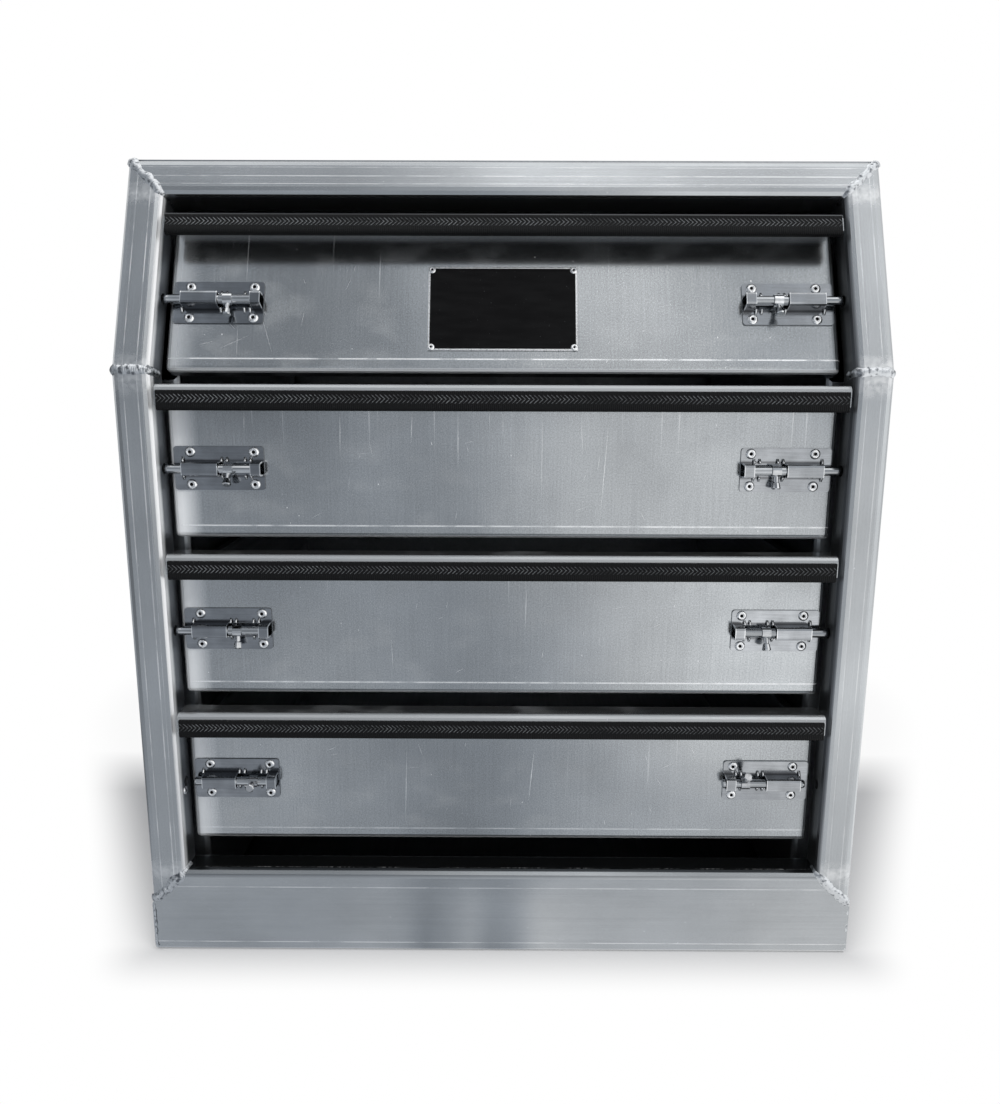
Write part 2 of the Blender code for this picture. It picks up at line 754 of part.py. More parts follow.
def bolt_body():
    outline = rounded(rectangle(BOLT_LENGTH, BOLT_WIDTH), BOLT_ROUND)
    plate = extruded("bolt_body", [outline], BOLT_SHEET, BOLT_STEEL)
    bake_place(plate, Matrix.Translation((-BOLT_LENGTH / 2, 0.0, BOLT_SHEET / 2)))
    combine(plate, bolt_cover(LONG_COVER_START, LONG_COVER_LENGTH), "UNION")
    short_start = BOLT_LENGTH - SHORT_COVER_INSET - SHORT_COVER_LENGTH
    combine(plate, bolt_cover(short_start, SHORT_COVER_LENGTH), "UNION")
    return smooth(plate)


def bolt_rod():
    """The sliding rod, with its rounded tip at the origin and its body running back along -X."""
    profile = [(0.0, 0.0)]
    for step in range(TIP_STEPS + 1):
        angle = math.pi / 2 * step / TIP_STEPS
        inset = ROD_TIP * (1 - math.sin(angle))
        profile.append((-ROD_TIP * (1 - math.cos(angle)), ROD_RADIUS - inset))
    profile.append((-ROD_LENGTH + FUSE, ROD_RADIUS))
    profile.append((-ROD_LENGTH, ROD_RADIUS - FUSE))
    profile.append((-ROD_LENGTH, 0.0))
    return smooth(turned("bolt_rod", profile, ROD_SIDES, ROD_STEEL))


def bolt_knob():
    """A collar on the rod, with a stem standing out of it and a flared head."""
    inner = ROD_RADIUS + GAP
    outer = inner + COLLAR_WALL
    half = COLLAR_LENGTH / 2
    ring = [(-half, inner), (-half, outer), (half, outer), (half, inner), (-half, inner)]
    collar = turned("bolt_knob", ring, ROD_SIDES, KNOB_STEEL)
    head_start = KNOB_REACH - HEAD_LENGTH
    profile = [
        (inner + COLLAR_WALL / 2, 0.0),
        (inner + COLLAR_WALL / 2, STEM_RADIUS),
        (head_start, STEM_RADIUS),
        (head_start + HEAD_ROUND, HEAD_NECK_RADIUS),
        (KNOB_REACH - HEAD_ROUND, HEAD_RADIUS),
        (KNOB_REACH, HEAD_RADIUS - HEAD_ROUND),
        (KNOB_REACH, 0.0),
    ]
    stem = turned("knob_stem", profile, KNOB_SIDES, KNOB_STEEL)
    bake_place(stem, axes((0, 0, 1), (0, 1, 0), (-1, 0, 0), (0.0, 0.0, 0.0)))
    return smooth(combine(collar, stem, "UNION"))


def bolt_place(side):
    """A bolt's frame on its drawer front. The right one is the left one turned half round."""
    outer_end = side * (FRONT_HALF - BOLT_EDGE_GAP)
    return axes((side, 0, 0), (0, 0, side), (0, -1, 0), (outer_end, -GAP, BOLT_RISE))


def copy_of(source, name, parent, matrix):
    """Another object with the same mesh, on its own parent."""
    obj = bpy.data.objects.new(name, source.data)
    TOOLBOX.objects.link(obj)
    obj.parent = parent
    obj.matrix_basis = matrix
    return obj


def barrel_bolt(sources, index, word, side, parent):
    name = f"drawer_{index + 1}_bolt_{word}"
    body = copy_of(sources["body"], name + "_body", parent, bolt_place(side))
    which = 0 if side < 0 else 1
    at_rest = Matrix.Translation((ROD_REST - RODS_DRAWN[index][which], 0.0, ROD_AXIS_HEIGHT))
    rod = copy_of(sources["rod"], name + "_rod", body, at_rest)
    hang = side * math.radians(KNOB_ANGLES[index][which])
    along = -(ROD_REST + KNOB_FROM_PLATE_END)
    turned_down = Matrix.Translation((along, 0.0, 0.0)) @ Matrix.Rotation(hang, 4, "X")
    copy_of(sources["knob"], name + "_knob", rod, turned_down)


def keeper_holes(stiles):
    """The holes in the stiles' inner walls that the rods shoot into."""
    radius = ROD_RADIUS + KEEPER_HOLE_CLEARANCE
    profile = [(-TUBE_SIZE / 2, 0.0), (-TUBE_SIZE / 2, radius), (TUBE_SIZE / 2, radius), (TUBE_SIZE / 2, 0.0)]
    for index in range(DRAWER_COUNT):
        for _, side in SIDES:
            entry = front_place(index) @ bolt_place(side) @ Vector((0.0, 0.0, ROD_AXIS_HEIGHT))
            hole = turned("keeper_hole", profile, ROD_SIDES, FRAME_METAL)
            place = Matrix.Translation((side * OPENING_HALF, entry.y, entry.z))
            stile = stiles["upper" if front_lean(index) else "lower", side]
            combine(stile, as_cutter(hole, place), "DIFFERENCE")


def carcass():
    stiles = {}
    for word, side in SIDES:
        stiles["lower", side] = lower_stile(word, side)
        stiles["upper", side] = upper_stile(word, side)
        side_panel(word, side)
        slide_carrier(word, side)
    keeper_holes(stiles)
    for tube in [*stiles.values(), top_rail(), bottom_rail()]:
        smooth(tube)
    flat_panels()


def drawer(index, sources):
    name = f"drawer_{index + 1}"
    carriage = empty_at(name + "_carriage", Matrix.Translation((0.0, FRONT_Y, front_bottom(index))))
    slides = empty_at(name + "_slides", Matrix.Translation((0.0, slide_front(index), slide_height(index))))
    bpy.context.view_layer.update()
    on_carriage = carriage.matrix_world.inverted() @ front_place(index)
    face = empty_at(name + "_face", on_carriage, carriage)
    drawer_front(name + "_front", face)
    grip_trim(name + "_grip", face)
    drawer_box(index, carriage)
    for word, side in SIDES:
        middle_slide(word, side, index, slides)
        barrel_bolt(sources, index, word, side, face)
    return face


def build():
    carcass()
    sources = {"body": bolt_body(), "rod": bolt_rod(), "knob": bolt_knob()}
    faces = [drawer(index, sources) for index in range(DRAWER_COUNT)]
    for source in sources.values():
        bpy.data.objects.remove(source, do_unlink=True)
    name_plate("name_plate", faces[0])
    bpy.context.view_layer.update()


start_clean()
TOOLBOX = collection_named("ute_toolbox")
CUTTERS = collection_named("cutters")
FRAME_METAL = material_named("frame_aluminium", (0.62, 0.64, 0.66), 0.38, 1.0)
SKIN_METAL = material_named("skin_aluminium", (0.58, 0.60, 0.62), 0.42, 1.0)
DRAWER_METAL = material_named("drawer_aluminium", (0.60, 0.62, 0.64), 0.35, 1.0)
SLIDE_METAL = material_named("slide_zinc", (0.50, 0.51, 0.52), 0.40, 1.0)
BOLT_STEEL = material_named("bolt_stainless", (0.55, 0.55, 0.55), 0.30, 1.0)
ROD_STEEL = material_named("rod_stainless", (0.72, 0.72, 0.72), 0.18, 1.0)
KNOB_STEEL = material_named("knob_stainless", (0.66, 0.66, 0.66), 0.20, 1.0)
RUBBER = material_named("grip_rubber", (0.018, 0.018, 0.020), 0.60, 0.0)
BLACK_PLATE = material_named("plate_black", (0.012, 0.012, 0.013), 0.35, 0.0)
build()
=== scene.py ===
"""Looks of the four-drawer ute toolbox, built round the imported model: brushed and mill-finish metals, braided
grip trims, rivets, weld beads, scribed lines and scratches, and a plain studio.

Metres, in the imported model's frame: +Z up, and the drawers open towards -Y."""

import math
import random

import bmesh
import bpy
from mathutils import Matrix, Vector, noise


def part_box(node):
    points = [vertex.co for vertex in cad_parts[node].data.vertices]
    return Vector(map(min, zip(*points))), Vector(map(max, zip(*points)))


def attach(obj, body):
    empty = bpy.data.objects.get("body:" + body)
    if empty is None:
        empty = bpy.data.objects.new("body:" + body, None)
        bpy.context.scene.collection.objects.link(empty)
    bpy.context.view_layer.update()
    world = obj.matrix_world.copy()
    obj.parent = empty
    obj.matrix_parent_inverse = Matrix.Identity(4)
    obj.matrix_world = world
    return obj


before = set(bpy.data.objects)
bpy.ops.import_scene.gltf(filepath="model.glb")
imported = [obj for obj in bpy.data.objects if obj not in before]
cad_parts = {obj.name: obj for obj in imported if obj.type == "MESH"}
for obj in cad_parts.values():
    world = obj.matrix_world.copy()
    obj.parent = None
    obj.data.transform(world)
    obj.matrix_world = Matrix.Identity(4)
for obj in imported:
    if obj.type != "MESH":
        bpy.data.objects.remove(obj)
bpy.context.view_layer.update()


def measured(name):
    """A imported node's lowest and highest corner, to a hundredth of a millimetre."""
    return [[round(value, 5) for value in corner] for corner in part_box(name)]


SIDES = (("left", -1), ("right", 1))
DRAWERS = ("drawer_1", "drawer_2", "drawer_3", "drawer_4")

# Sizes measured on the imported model
RAIL_LOW, RAIL_HIGH = measured("front_bottom_rail")
FACE_LOW, FACE_HIGH = measured("drawer_2_front")
TRIM_LOW, TRIM_HIGH = measured("drawer_2_grip")
BOLT_LOW, BOLT_HIGH = measured("drawer_2_bolt_left_body")
HALF_WIDTH = RAIL_HIGH[0]
FRONT_Y = RAIL_LOW[1]
BACK_Y = measured("back_panel")[1][1]
CABINET_HEIGHT = measured("roof_panel")[1][2]
TUBE_SIZE = RAIL_HIGH[1] - RAIL_LOW[1]
BOTTOM_RAIL_HEIGHT = RAIL_HIGH[2]
FRONT_HALF = FACE_HIGH[0]
FRONT_HEIGHT = FACE_HIGH[2] - FACE_LOW[2]
UPRIGHT_BOTTOMS = [measured(drawer + "_front")[0][2] for drawer in DRAWERS[1:]]
FRONT_BOTTOMS = (2 * UPRIGHT_BOTTOMS[0] - UPRIGHT_BOTTOMS[1], *UPRIGHT_BOTTOMS)
TRIM_HEIGHT = TRIM_HIGH[2] - TRIM_LOW[2]
TRIM_BELOW_LIP = FACE_HIGH[2] - TRIM_HIGH[2]
PLATE_WIDTH = 2 * measured("name_plate")[1][0]
BOLT_LENGTH = BOLT_HIGH[0] - BOLT_LOW[0]
BOLT_WIDTH = BOLT_HIGH[2] - BOLT_LOW[2]
BOLT_EDGE_GAP = BOLT_LOW[0] - FACE_LOW[0]
BOLT_RISE = (BOLT_LOW[2] + BOLT_HIGH[2]) / 2 - FACE_LOW[2]

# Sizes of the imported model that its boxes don't show
LEAN_RISE = 0.2065
LEAN_SETBACK = 0.0824
TUBE_CORNER = 0.0075
FRONT_RECESS = 0.030
PLATE_HEIGHT = 0.089
PLATE_THICKNESS = 0.0012
PLATE_RISE = 0.0212
BOLT_ROUND = 0.003
BOLT_SHEET = 0.0015
COVER_HALF = 0.0066
COVER_FOOT = 0.0078
COVER_ENDS = (0.011, 0.047, 0.0795, 0.0895)

# Worked out from the values above
KINK_HEIGHT = CABINET_HEIGHT - LEAN_RISE
LEAN = math.atan2(LEAN_SETBACK, LEAN_RISE)
LEAN_LENGTH = math.hypot(LEAN_SETBACK, LEAN_RISE)
LEAN_UP = Vector((0.0, math.sin(LEAN), math.cos(LEAN)))
LEAN_BACK = Vector((0.0, math.cos(LEAN), -math.sin(LEAN)))
OPENING_HALF = HALF_WIDTH - TUBE_SIZE
TRIM_BOTTOM = FRONT_HEIGHT - TRIM_BELOW_LIP - TRIM_HEIGHT

# The rest of a weathered metal's finish is dull
METAL_SHARE = 0.95

# Marks on each drawer front: the scribed line, the drips that hang below the trim and the lower fold, which
# ends this far behind the face. FACE_MARGIN parts the face from what stands in front of it
SCRIBE_RISE = 0.0125
SCRIBE_HALF_WIDTH = 0.0012
SCRIBE_GAINS = (0.80, 0.85, 0.80, 0.45)
DRIP_LENGTH = 0.07
FOLD_RISE = (0.0020, 0.0034)
FOLD_DEPTH = 0.006
FACE_MARGIN = 0.001

# Tones of the lips' rolled tops, the first drawer's painted near black as shade, how dull their front edges are
# and how far back that fades, and how strongly each front's left end is painted bright as a highlight
LIP_TONES_AND_PAINTED_SHADE = ((0.035, 0.037, 0.04), (0.32, 0.335, 0.35), (0.32, 0.335, 0.35), (0.32, 0.335, 0.35))
LIP_DULL = (0.0, 0.5, 0.5, 0.5)
BROW_FADE = (0.0040, 0.0080)
PAINTED_HIGHLIGHT_GAINS = (0.35, 1.0, 0.85, 0.60)
PAINTED_HIGHLIGHT_REACH = 0.030

# A lip's outer skin, from this far in front of the face on and from a little below the trim's upper edge
LIP_START = 0.004
LIP_OVERLAP = 0.0008

# A lip's underside, from this far in front of the face to this far behind the lip's front, below its sheet
UNDER_START = 0.003
UNDER_END = 0.0060
LIP_SHEET = 0.0012

# The stiles' sides that face the drawers, painted for light that falls from the right: which way, the
# rounding's colour (a painted highlight on the left, painted shade on the right) and share of metal, and the
# colour of the flat behind it (painted shade). Then how far short of the side's plane the colour comes in and
# is full, and how far behind the front the flat does
STILE_INSIDE_PAINTED_LIGHT = {
    "left": (1.0, (0.84, 0.85, 0.86), 0.60, (0.20, 0.215, 0.235)),
    "right": (-1.0, (0.13, 0.137, 0.146), 0.95, (0.10, 0.105, 0.11)),
}
INSIDE_START = 0.0045
INSIDE_FULL = 0.0020
FLAT_START = 0.0070
FLAT_FULL = 0.0120

# Scribed lines along the tubes: place across the tube from its middle, half width and strength
STILE_LINES = ((-0.0070, 0.0007, 0.8), (0.0065, 0.0008, 0.9), (0.0105, 0.0004, 0.5))
STILE_LINE_GAINS = {"left": 0.70, "right": 0.32}
TOP_RAIL_LINES = ((-0.0085, 0.0007, 0.42), (0.0000, 0.0008, 0.52), (0.0095, 0.0006, 0.37))
BOTTOM_RAIL_LINES = ((0.0290, 0.0008, 0.5), (-0.0363, 0.0008, 0.6))

# The scuffed line on the bottom rail's upper side: the side's place from the rail's middle, the line's place
# from the tube's middle and its half width. The rail is painted darker as shade over the last stretch up to
# that side, and near black as shade on the side itself
LEDGE = (BOTTOM_RAIL_HEIGHT / 2 - 0.002, -0.0095, 0.0009)
BRINK_START = 0.0050
BRINK_END = 0.0025
BRINK_TOP = 0.0012

# Pale blooms beside the stiles' welds: place along the tube from its middle, and half width
LOWER_BLOOMS = ((KINK_HEIGHT / 2 - 0.010, 0.018), (BOTTOM_RAIL_HEIGHT - KINK_HEIGHT / 2, 0.016))
UPPER_BLOOMS = ((0.006 - LEAN_LENGTH / 2, 0.012), (LEAN_LENGTH / 2 - TUBE_SIZE, 0.014))

# The trims' braid: the strands slant away from a middle line, this share of the trim's height below its top,
# and give way to ribs over a short stretch
BRAID_MIDDLE = 0.40
STRAND_SLANT = 1.1
STRAND_PITCH = 0.0042
STRAND_FADE = (0.0035, 0.0050)
RIB_PITCH = 0.0019
RIB_FADE = (0.0040, 0.0055)

# Steel of the bolts, darker on the left pair than on the right, their cut edges and the painted shade in
# their creases
BOLT_TONES = {"left": (0.250, 0.265, 0.285), "right": (0.355, 0.370, 0.388)}
CUT_HALF_WIDTH = 0.0009
CREASE_SHADE_HALF_WIDTH = 0.0022

# Rivets: radius and height above the sheet at each step, from the rim inwards, and then down the core's hole
RIVET_PROFILE = (
    (0.0053, 0.0), (0.0053, 0.0004), (0.0049, 0.0010), (0.0040, 0.0016), (0.0032, 0.0019), (0.0026, 0.0018),
    (0.0022, 0.0014), (0.0019, 0.0014), (0.0018, 0.0015)
)
RIVET_HOLE = ((0.0017, 0.0014), (0.0016, 0.0006), (0.0, 0.0006))
RIVET_SIDES = 24
RIVET_FROM_OUTER_END = 0.0168
RIVET_FROM_INNER_END = 0.0097
RIVET_OFF_AXIS = 0.0163
PLATE_RIVET_INSET = 0.0034
PLATE_RIVET_SCALE = 0.70

# Small feet lanced from the bolt plates: places from the plate's outer end inwards, and each one's profile as
# distance out from the cover's side and height above the plate
FOOT_PLACES = (0.0095, 0.0485, 0.0540, 0.0720, 0.0776)
FOOT_WIDTH = 0.0020
FOOT_PROFILE = ((-0.0002, 0.0022), (0.0008, 0.0028), (0.0020, 0.0022), (0.0034, 0.0011), (0.0048, 0.0002))
FOOT_THICKNESS = 0.0012

# Rolled edge round each bolt plate
EDGE_WIDTH = 0.0006
EDGE_DROP = 0.0005
EDGE_PROUD = 0.00005
CORNER_STEPS = 5

# Edge of the blank plate
RIM_WIDTH = 0.0017
RIM_RISE = 0.0003

# Weld beads, as half width, height and seed, and how far behind the front plane those round a tube start on
# its inner side and end on its outer one, or 0 where they stop in front
BEAD_STEP = 0.0007
BEAD_SIDES = 8
ROUND_STEPS = 4
RIPPLE_PITCH = 0.0021
RIPPLE_BOW = 0.0014
BEAD_SINK = 0.0006
BEAD_UNEVEN = {"left": 0.85, "right": 0.30}
KINK_BEAD = (0.0046, 0.0022, 3.0)
KINK_BEAD_ENDS = (0.026, 0.034)
TOP_BEAD = (0.0048, 0.0023, 11.0)
TOP_BEAD_ENDS = (0.020, 0.0)
LOW_BEAD = (0.0056, 0.0026, 23.0)
LOW_BEAD_ENDS = (0.018, 0.0)
EDGE_BEADS = {"left": (0.0030, 0.0013, 31.0), "right": (0.0016, 0.0013, 31.0)}
EDGE_BEAD_SINK = 0.0008
EDGE_BEAD_FOOT = 0.003

# Stitch welds along the side panels' seams
STITCH_LENGTH = 0.030
STITCH_PITCH = 0.140
STITCH_INSET = 0.030
STITCH_HALF_WIDTH = 0.0028
STITCH_RISE = 0.0015
STITCH_SINK = 0.0004
STITCH_UNEVEN = 0.4
STITCH_SEED = 43.0

# Pan-head screw in the left stile's inner face: its place, and its profile as radius and height
SCREW_PLACE = (-0.337, -0.284, 0.180)
SCREW_PROFILE = ((0.0046, 0.0), (0.0045, 0.0006), (0.0038, 0.0012), (0.0024, 0.0015), (0.0015, 0.0015))
SCREW_RECESS = ((0.0013, 0.0009), (0.0, 0.0007))
SCREW_SIDES = 20

# Hairline marks strewn on each drawer front: how many, where, how long and how wide
HAIRLINES = 13
HAIRLINE_REACH = 0.225
HAIRLINE_RISE = (0.016, 0.112)
HAIRLINES_BESIDE_PLATE = 0.09
HAIRLINE_LENGTH = (0.003, 0.018)
HAIRLINE_WIDTH = (0.00018, 0.00034)
SCRATCH_PROUD = 0.00004

# What the metal mirrors: brightness by azimuth in degrees from straight in front, to the right
ROOM_LEFT = ((-90.0, 0.75), (-70.0, 0.60), (-55.0, 0.30), (-42.0, 0.25), (-33.0, 0.45), (-27.0, 0.60))
ROOM_RIGHT = ((32.0, 1.20), (35.0, 1.40), (45.0, 1.50), (65.0, 1.35), (80.0, 1.15), (90.0, 1.00))
CEILING = (
    (-24.7, 0.44), (-23.2, 0.37), (-21.7, 0.34), (-20.2, 0.35), (-18.6, 0.32), (-17.0, 0.28), (-15.4, 0.29),
    (-13.8, 0.33), (-12.1, 0.42), (-10.4, 0.51), (-8.7, 0.64), (-6.5, 0.67), (-2.0, 0.73), (1.0, 0.68),
    (2.5, 0.77), (4.0, 1.02), (6.0, 1.05), (8.7, 1.03), (10.4, 1.08), (12.1, 1.14), (13.8, 1.19),
    (15.4, 1.16), (17.0, 1.03), (18.6, 0.82), (20.2, 0.69), (21.7, 0.63), (23.2, 0.67), (24.7, 0.72),
    (26.1, 0.75), (28.0, 0.86),
)
FLOOR_FAR = (
    (-22.0, 0.66), (-19.5, 0.55), (-17.0, 0.44), (-14.0, 0.42), (-11.0, 0.51), (-8.5, 0.57), (-6.5, 0.57),
    (-5.0, 0.51), (-3.5, 0.54), (-0.5, 0.54), (1.0, 1.02), (2.5, 0.99), (6.0, 0.95), (8.5, 1.09),
    (11.0, 1.16), (14.0, 1.35), (17.0, 1.21), (19.0, 0.92), (22.0, 1.10), (26.0, 1.30),
)
FLOOR_MIDDLE = (
    (-22.0, 0.58), (-18.5, 0.60), (-17.0, 0.52), (-14.0, 0.69), (-11.0, 0.65), (-8.5, 0.60), (-5.0, 0.53),
    (-3.5, 0.46), (-0.5, 0.60), (1.0, 0.60), (2.5, 0.57), (4.0, 0.72), (6.0, 0.85), (8.5, 0.98),
    (11.0, 1.18), (14.0, 1.55), (17.0, 1.58), (20.0, 1.36), (22.0, 1.11), (26.0, 1.35),
)
FLOOR_NEAR = (
    (-22.0, 0.58), (-18.5, 0.72), (-17.0, 0.64), (-14.0, 0.64), (-11.0, 0.57), (-8.5, 0.57), (-6.5, 0.50),
    (-3.5, 0.42), (-2.0, 0.40), (1.0, 0.51), (4.0, 0.69), (6.0, 0.75), (8.5, 0.74), (11.0, 0.83),
    (14.0, 0.85), (17.0, 0.92), (20.0, 0.98), (22.0, 1.05), (26.0, 1.35),
)
FLOOR_CLOSE = (
    (-22.0, 0.62), (-17.0, 0.59), (-14.0, 0.60), (-11.0, 0.64), (-8.5, 0.72), (-6.5, 0.66), (-5.0, 0.46),
    (-3.5, 0.58), (-2.0, 0.76), (-0.5, 0.52), (1.0, 0.62), (2.5, 1.00), (6.0, 0.92), (11.0, 0.91),
    (14.0, 0.94), (17.0, 1.04), (22.0, 1.05), (26.0, 1.35),
)
# The ceiling's upper part, from one azimuth to another: how much brighter it is than its lower part
CEILING_GAINS = (13.0, 18.0, 2.04, 1.42)
# Nearer parts of the floor: where each begins and is fully reached along Y, and its tones
FLOOR_BANDS = ((-2.4, -1.4, FLOOR_MIDDLE), (-1.0, -0.6, FLOOR_NEAR), (-0.47, -0.40, FLOOR_CLOSE))
ROOM_PEAK = 2.0
ROOM_REACH = 90.0
MIRROR_Y = 0.634
# Where the room turns white towards the back, and how high up the ceiling's upper part begins
ROOM_BACK = (-0.2, 0.5)
CEILING_UPPER = (0.765, 0.815)
# The tint where metal sees the room dark, and between which tones it clears
ROOM_TINT = (0.935, 1.0, 1.09)
ROOM_TINT_TONES = (0.50, 1.05)
# Light that the room and the floor give to dull surfaces
WORLD_LIGHT = 0.55
FLOOR_LIGHT = 0.6

# Half the floor's width, and how far it lies below the cabinet
FLOOR_REACH = 9.0
FLOOR_DROP = 0.0006

# The floor's shadow: how far beside the cabinet it begins to clear, how much further for each metre towards
# the back (counted from SHADE_FRONT on), over what width it clears, and where it fades behind and by how much
SHADE_START = 0.1165
SHADE_SLOPE = 0.5
SHADE_FRONT = -0.29
SHADE_WIDTH = 0.100
SHADE_BACK = (0.08, 0.22, 0.0, 0.92)
SHADE_TONE = (0.535, 0.54, 0.555, 1.0)

# Longer scratches on each drawer front: start, end, both as (x, height up the face), and width
LONG_SCRATCHES = (
    (
        ((-0.2404, 0.0553), (-0.2286, 0.0183), 0.0004), ((-0.2824, 0.0223), (-0.2515, 0.0372), 0.0004),
        ((-0.2640, 0.0478), (-0.2638, 0.0098), 0.0004), ((-0.3036, 0.0265), (-0.2869, 0.0307), 0.0004),
        ((-0.2742, 0.0509), (-0.2657, 0.0424), 0.0004),
    ),
    (
        ((-0.2570, 0.1269), (-0.2581, 0.1061), 0.0004), ((-0.1614, 0.1272), (-0.1628, 0.0845), 0.0006),
        ((-0.0898, 0.1274), (-0.0913, 0.0948), 0.0006), ((-0.0441, 0.1276), (-0.0444, 0.0699), 0.0006),
        ((-0.0123, 0.1277), (-0.0133, 0.1149), 0.0004), ((0.0006, 0.1278), (0.0007, 0.1001), 0.0004),
        ((0.0404, 0.1279), (0.0395, 0.0398), 0.0004), ((0.1061, 0.1203), (0.0997, 0.0195), 0.0006),
        ((0.0783, 0.1202), (0.0810, 0.0854), 0.0004),
    ),
    (((0.0260, 0.1200), (0.0245, 0.0700), 0.0004), ((-0.1150, 0.0600), (-0.1140, 0.0250), 0.0004)),
    (((-0.1010, 0.1050), (-0.1040, 0.0190), 0.0006), ((0.0355, 0.1050), (0.0300, 0.0440), 0.0007)),
)

# Lamps: place, width and power
LAMPS = (("key", (0.9, -1.8, 2.6), 1.6, 46.0), ("fill", (-1.2, -1.7, 2.2), 1.8, 26.0))
LAMP_TARGET = (0.0, 0.0, 0.3)
LAMP_COLOUR = (1.0, 0.99, 0.97)

# Camera fitted to the photograph of 1000 x 1104 pixels
CAMERA_PLACE = (0.0012, -1.1739, 0.6211)
CAMERA_PITCH = 0.1997
CAMERA_YAW = -0.0034
CAMERA_ROLL = 0.0034
FOCAL_PIXELS = 900.0
PHOTO_HEIGHT = 1104.0
SENSOR = 36.0


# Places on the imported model


def axes(x, y, z, origin):
    matrix = Matrix((x, y, z)).transposed().to_4x4()
    matrix.translation = Vector(origin)
    return matrix


def leaning(along, behind):
    """A point this far up the leaning front plane from the kink, and this far behind the plane."""
    return Vector((0.0, FRONT_Y, KINK_HEIGHT)) + LEAN_UP * along + LEAN_BACK * behind


def front_frame(index):
    """The middle of a drawer front's lower edge: +Y behind the face and +Z up it."""
    if index:
        return Matrix.Translation((0.0, FRONT_Y + FRONT_RECESS, FRONT_BOTTOMS[index]))
    start = leaning(0.0, FRONT_RECESS)
    along = (FRONT_BOTTOMS[0] - start.z) / math.cos(LEAN)
    return axes((1, 0, 0), LEAN_BACK, LEAN_UP, leaning(along, FRONT_RECESS))


def bolt_frame(index, side):
    """The bolt plate's outer end on its axis: +X inwards along the plate, +Y along the face, +Z out of it."""
    origin = front_frame(index) @ Vector((side * (FRONT_HALF - BOLT_EDGE_GAP), 0.0, BOLT_RISE))
    turn = front_frame(index).to_3x3()
    out = -turn.col[1]
    inwards = Vector((-side, 0.0, 0.0))
    return axes(inwards, out.cross(inwards), out, origin)


# Meshes


def mesh_piece(name, bm, materials, body):
    """A finished piece that rides on a body."""
    bmesh.ops.recalc_face_normals(bm, faces=bm.faces)
    mesh = bpy.data.meshes.new(name)
    bm.to_mesh(mesh)
    bm.free()
    for material in materials:
        mesh.materials.append(material)
    obj = bpy.data.objects.new(name, mesh)
    bpy.context.scene.collection.objects.link(obj)
    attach(obj, body)
    return obj


def shade_smooth(obj, degrees=40.0):
    for polygon in obj.data.polygons:
        polygon.use_smooth = True
    with bpy.context.temp_override(object=obj, active_object=obj, selected_objects=[obj]):
        bpy.ops.object.shade_smooth_by_angle(angle=math.radians(degrees))


def add_ring(bm, matrix, radius, height, sides):
    if radius == 0.0:
        return [bm.verts.new(matrix @ Vector((0.0, 0.0, height)))]
    points = []
    for step in range(sides):
        turn = 2 * math.pi * step / sides
        point = Vector((radius * math.cos(turn), radius * math.sin(turn), height))
        points.append(bm.verts.new(matrix @ point))
    return points


def add_turned(bm, matrix, profile, sides, material_index, start=None):
    """Adds a turned surface through the profile's radii and heights, and gives back its last ring."""
    ring = start
    for radius, height in profile:
        following = add_ring(bm, matrix, radius, height, sides)
        for step in range(sides if ring else 0):
            after = (step + 1) % sides
            corners = [ring[step], ring[after]]
            corners += [following[after], following[step]] if len(following) > 1 else following
            bm.faces.new(corners).material_index = material_index
        ring = following
    return ring


def join_rings(bm, rings):
    """Fills in the strip between each ring of vertices and the next."""
    for a, b in zip(rings, rings[1:]):
        for step in range(len(a)):
            after = (step + 1) % len(a)
            bm.faces.new([a[step], a[after], b[after], b[step]])


def add_rivet(bm, matrix, scale=1.0):
    """A blind rivet's domed head, with the shallow hole that its pulled core leaves, painted dark as shade."""
    sized = matrix @ Matrix.Scale(scale, 4)
    mouth = add_turned(bm, sized, RIVET_PROFILE, RIVET_SIDES, 0)
    add_turned(bm, sized, RIVET_HOLE, RIVET_SIDES, 1, mouth)


# Shader nodes


class Value:
    """A node's output. Arithmetic and comparisons with it add math nodes to its tree."""

    def __init__(self, socket):
        self.socket = socket
        self.tree = socket.id_data

    def __add__(self, other):
        return math_node("ADD", self, other)

    def __sub__(self, other):
        return math_node("SUBTRACT", self, other)

    def __rsub__(self, other):
        return math_node("SUBTRACT", other, self)

    def __mul__(self, other):
        return math_node("MULTIPLY", self, other)

    def __truediv__(self, other):
        return math_node("DIVIDE", self, other)

    def __gt__(self, other):
        return math_node("GREATER_THAN", self, other)

    def __lt__(self, other):
        return math_node("LESS_THAN", self, other)

    def __abs__(self):
        return math_node("ABSOLUTE", self)


def feed(socket, value):
    """Links a node's output to a socket, or sets the socket's own value."""
    if isinstance(value, Value):
        value.tree.links.new(value.socket, socket)
    else:
        socket.default_value = value


def node(tree, kind, inputs=(), output=0, **settings):
    """Adds a node with these settings and (name, value) inputs, and gives back one of its outputs."""
    made = tree.nodes.new("ShaderNode" + kind)
    for name, setting in settings.items():
        setattr(made, name, setting)
    for name, value in inputs:
        feed(made.inputs[name], value)
    return Value(made.outputs[output])


def math_node(operation, *values):
    tree = next(value.tree for value in values if isinstance(value, Value))
    return node(tree, "Math", enumerate(values), operation=operation)


def vector_math(operation, a, b):
    return node(a.tree, "VectorMath", ((0, a), (1, b)), operation=operation)


def split(vector):
    made = vector.tree.nodes.new("ShaderNodeSeparateXYZ")
    feed(made.inputs[0], vector)
    return [Value(output) for output in made.outputs]


def strongest(first, *others):
    """The greatest of several values."""
    for other in others:
        first = math_node("MAXIMUM", first, other)
    return first


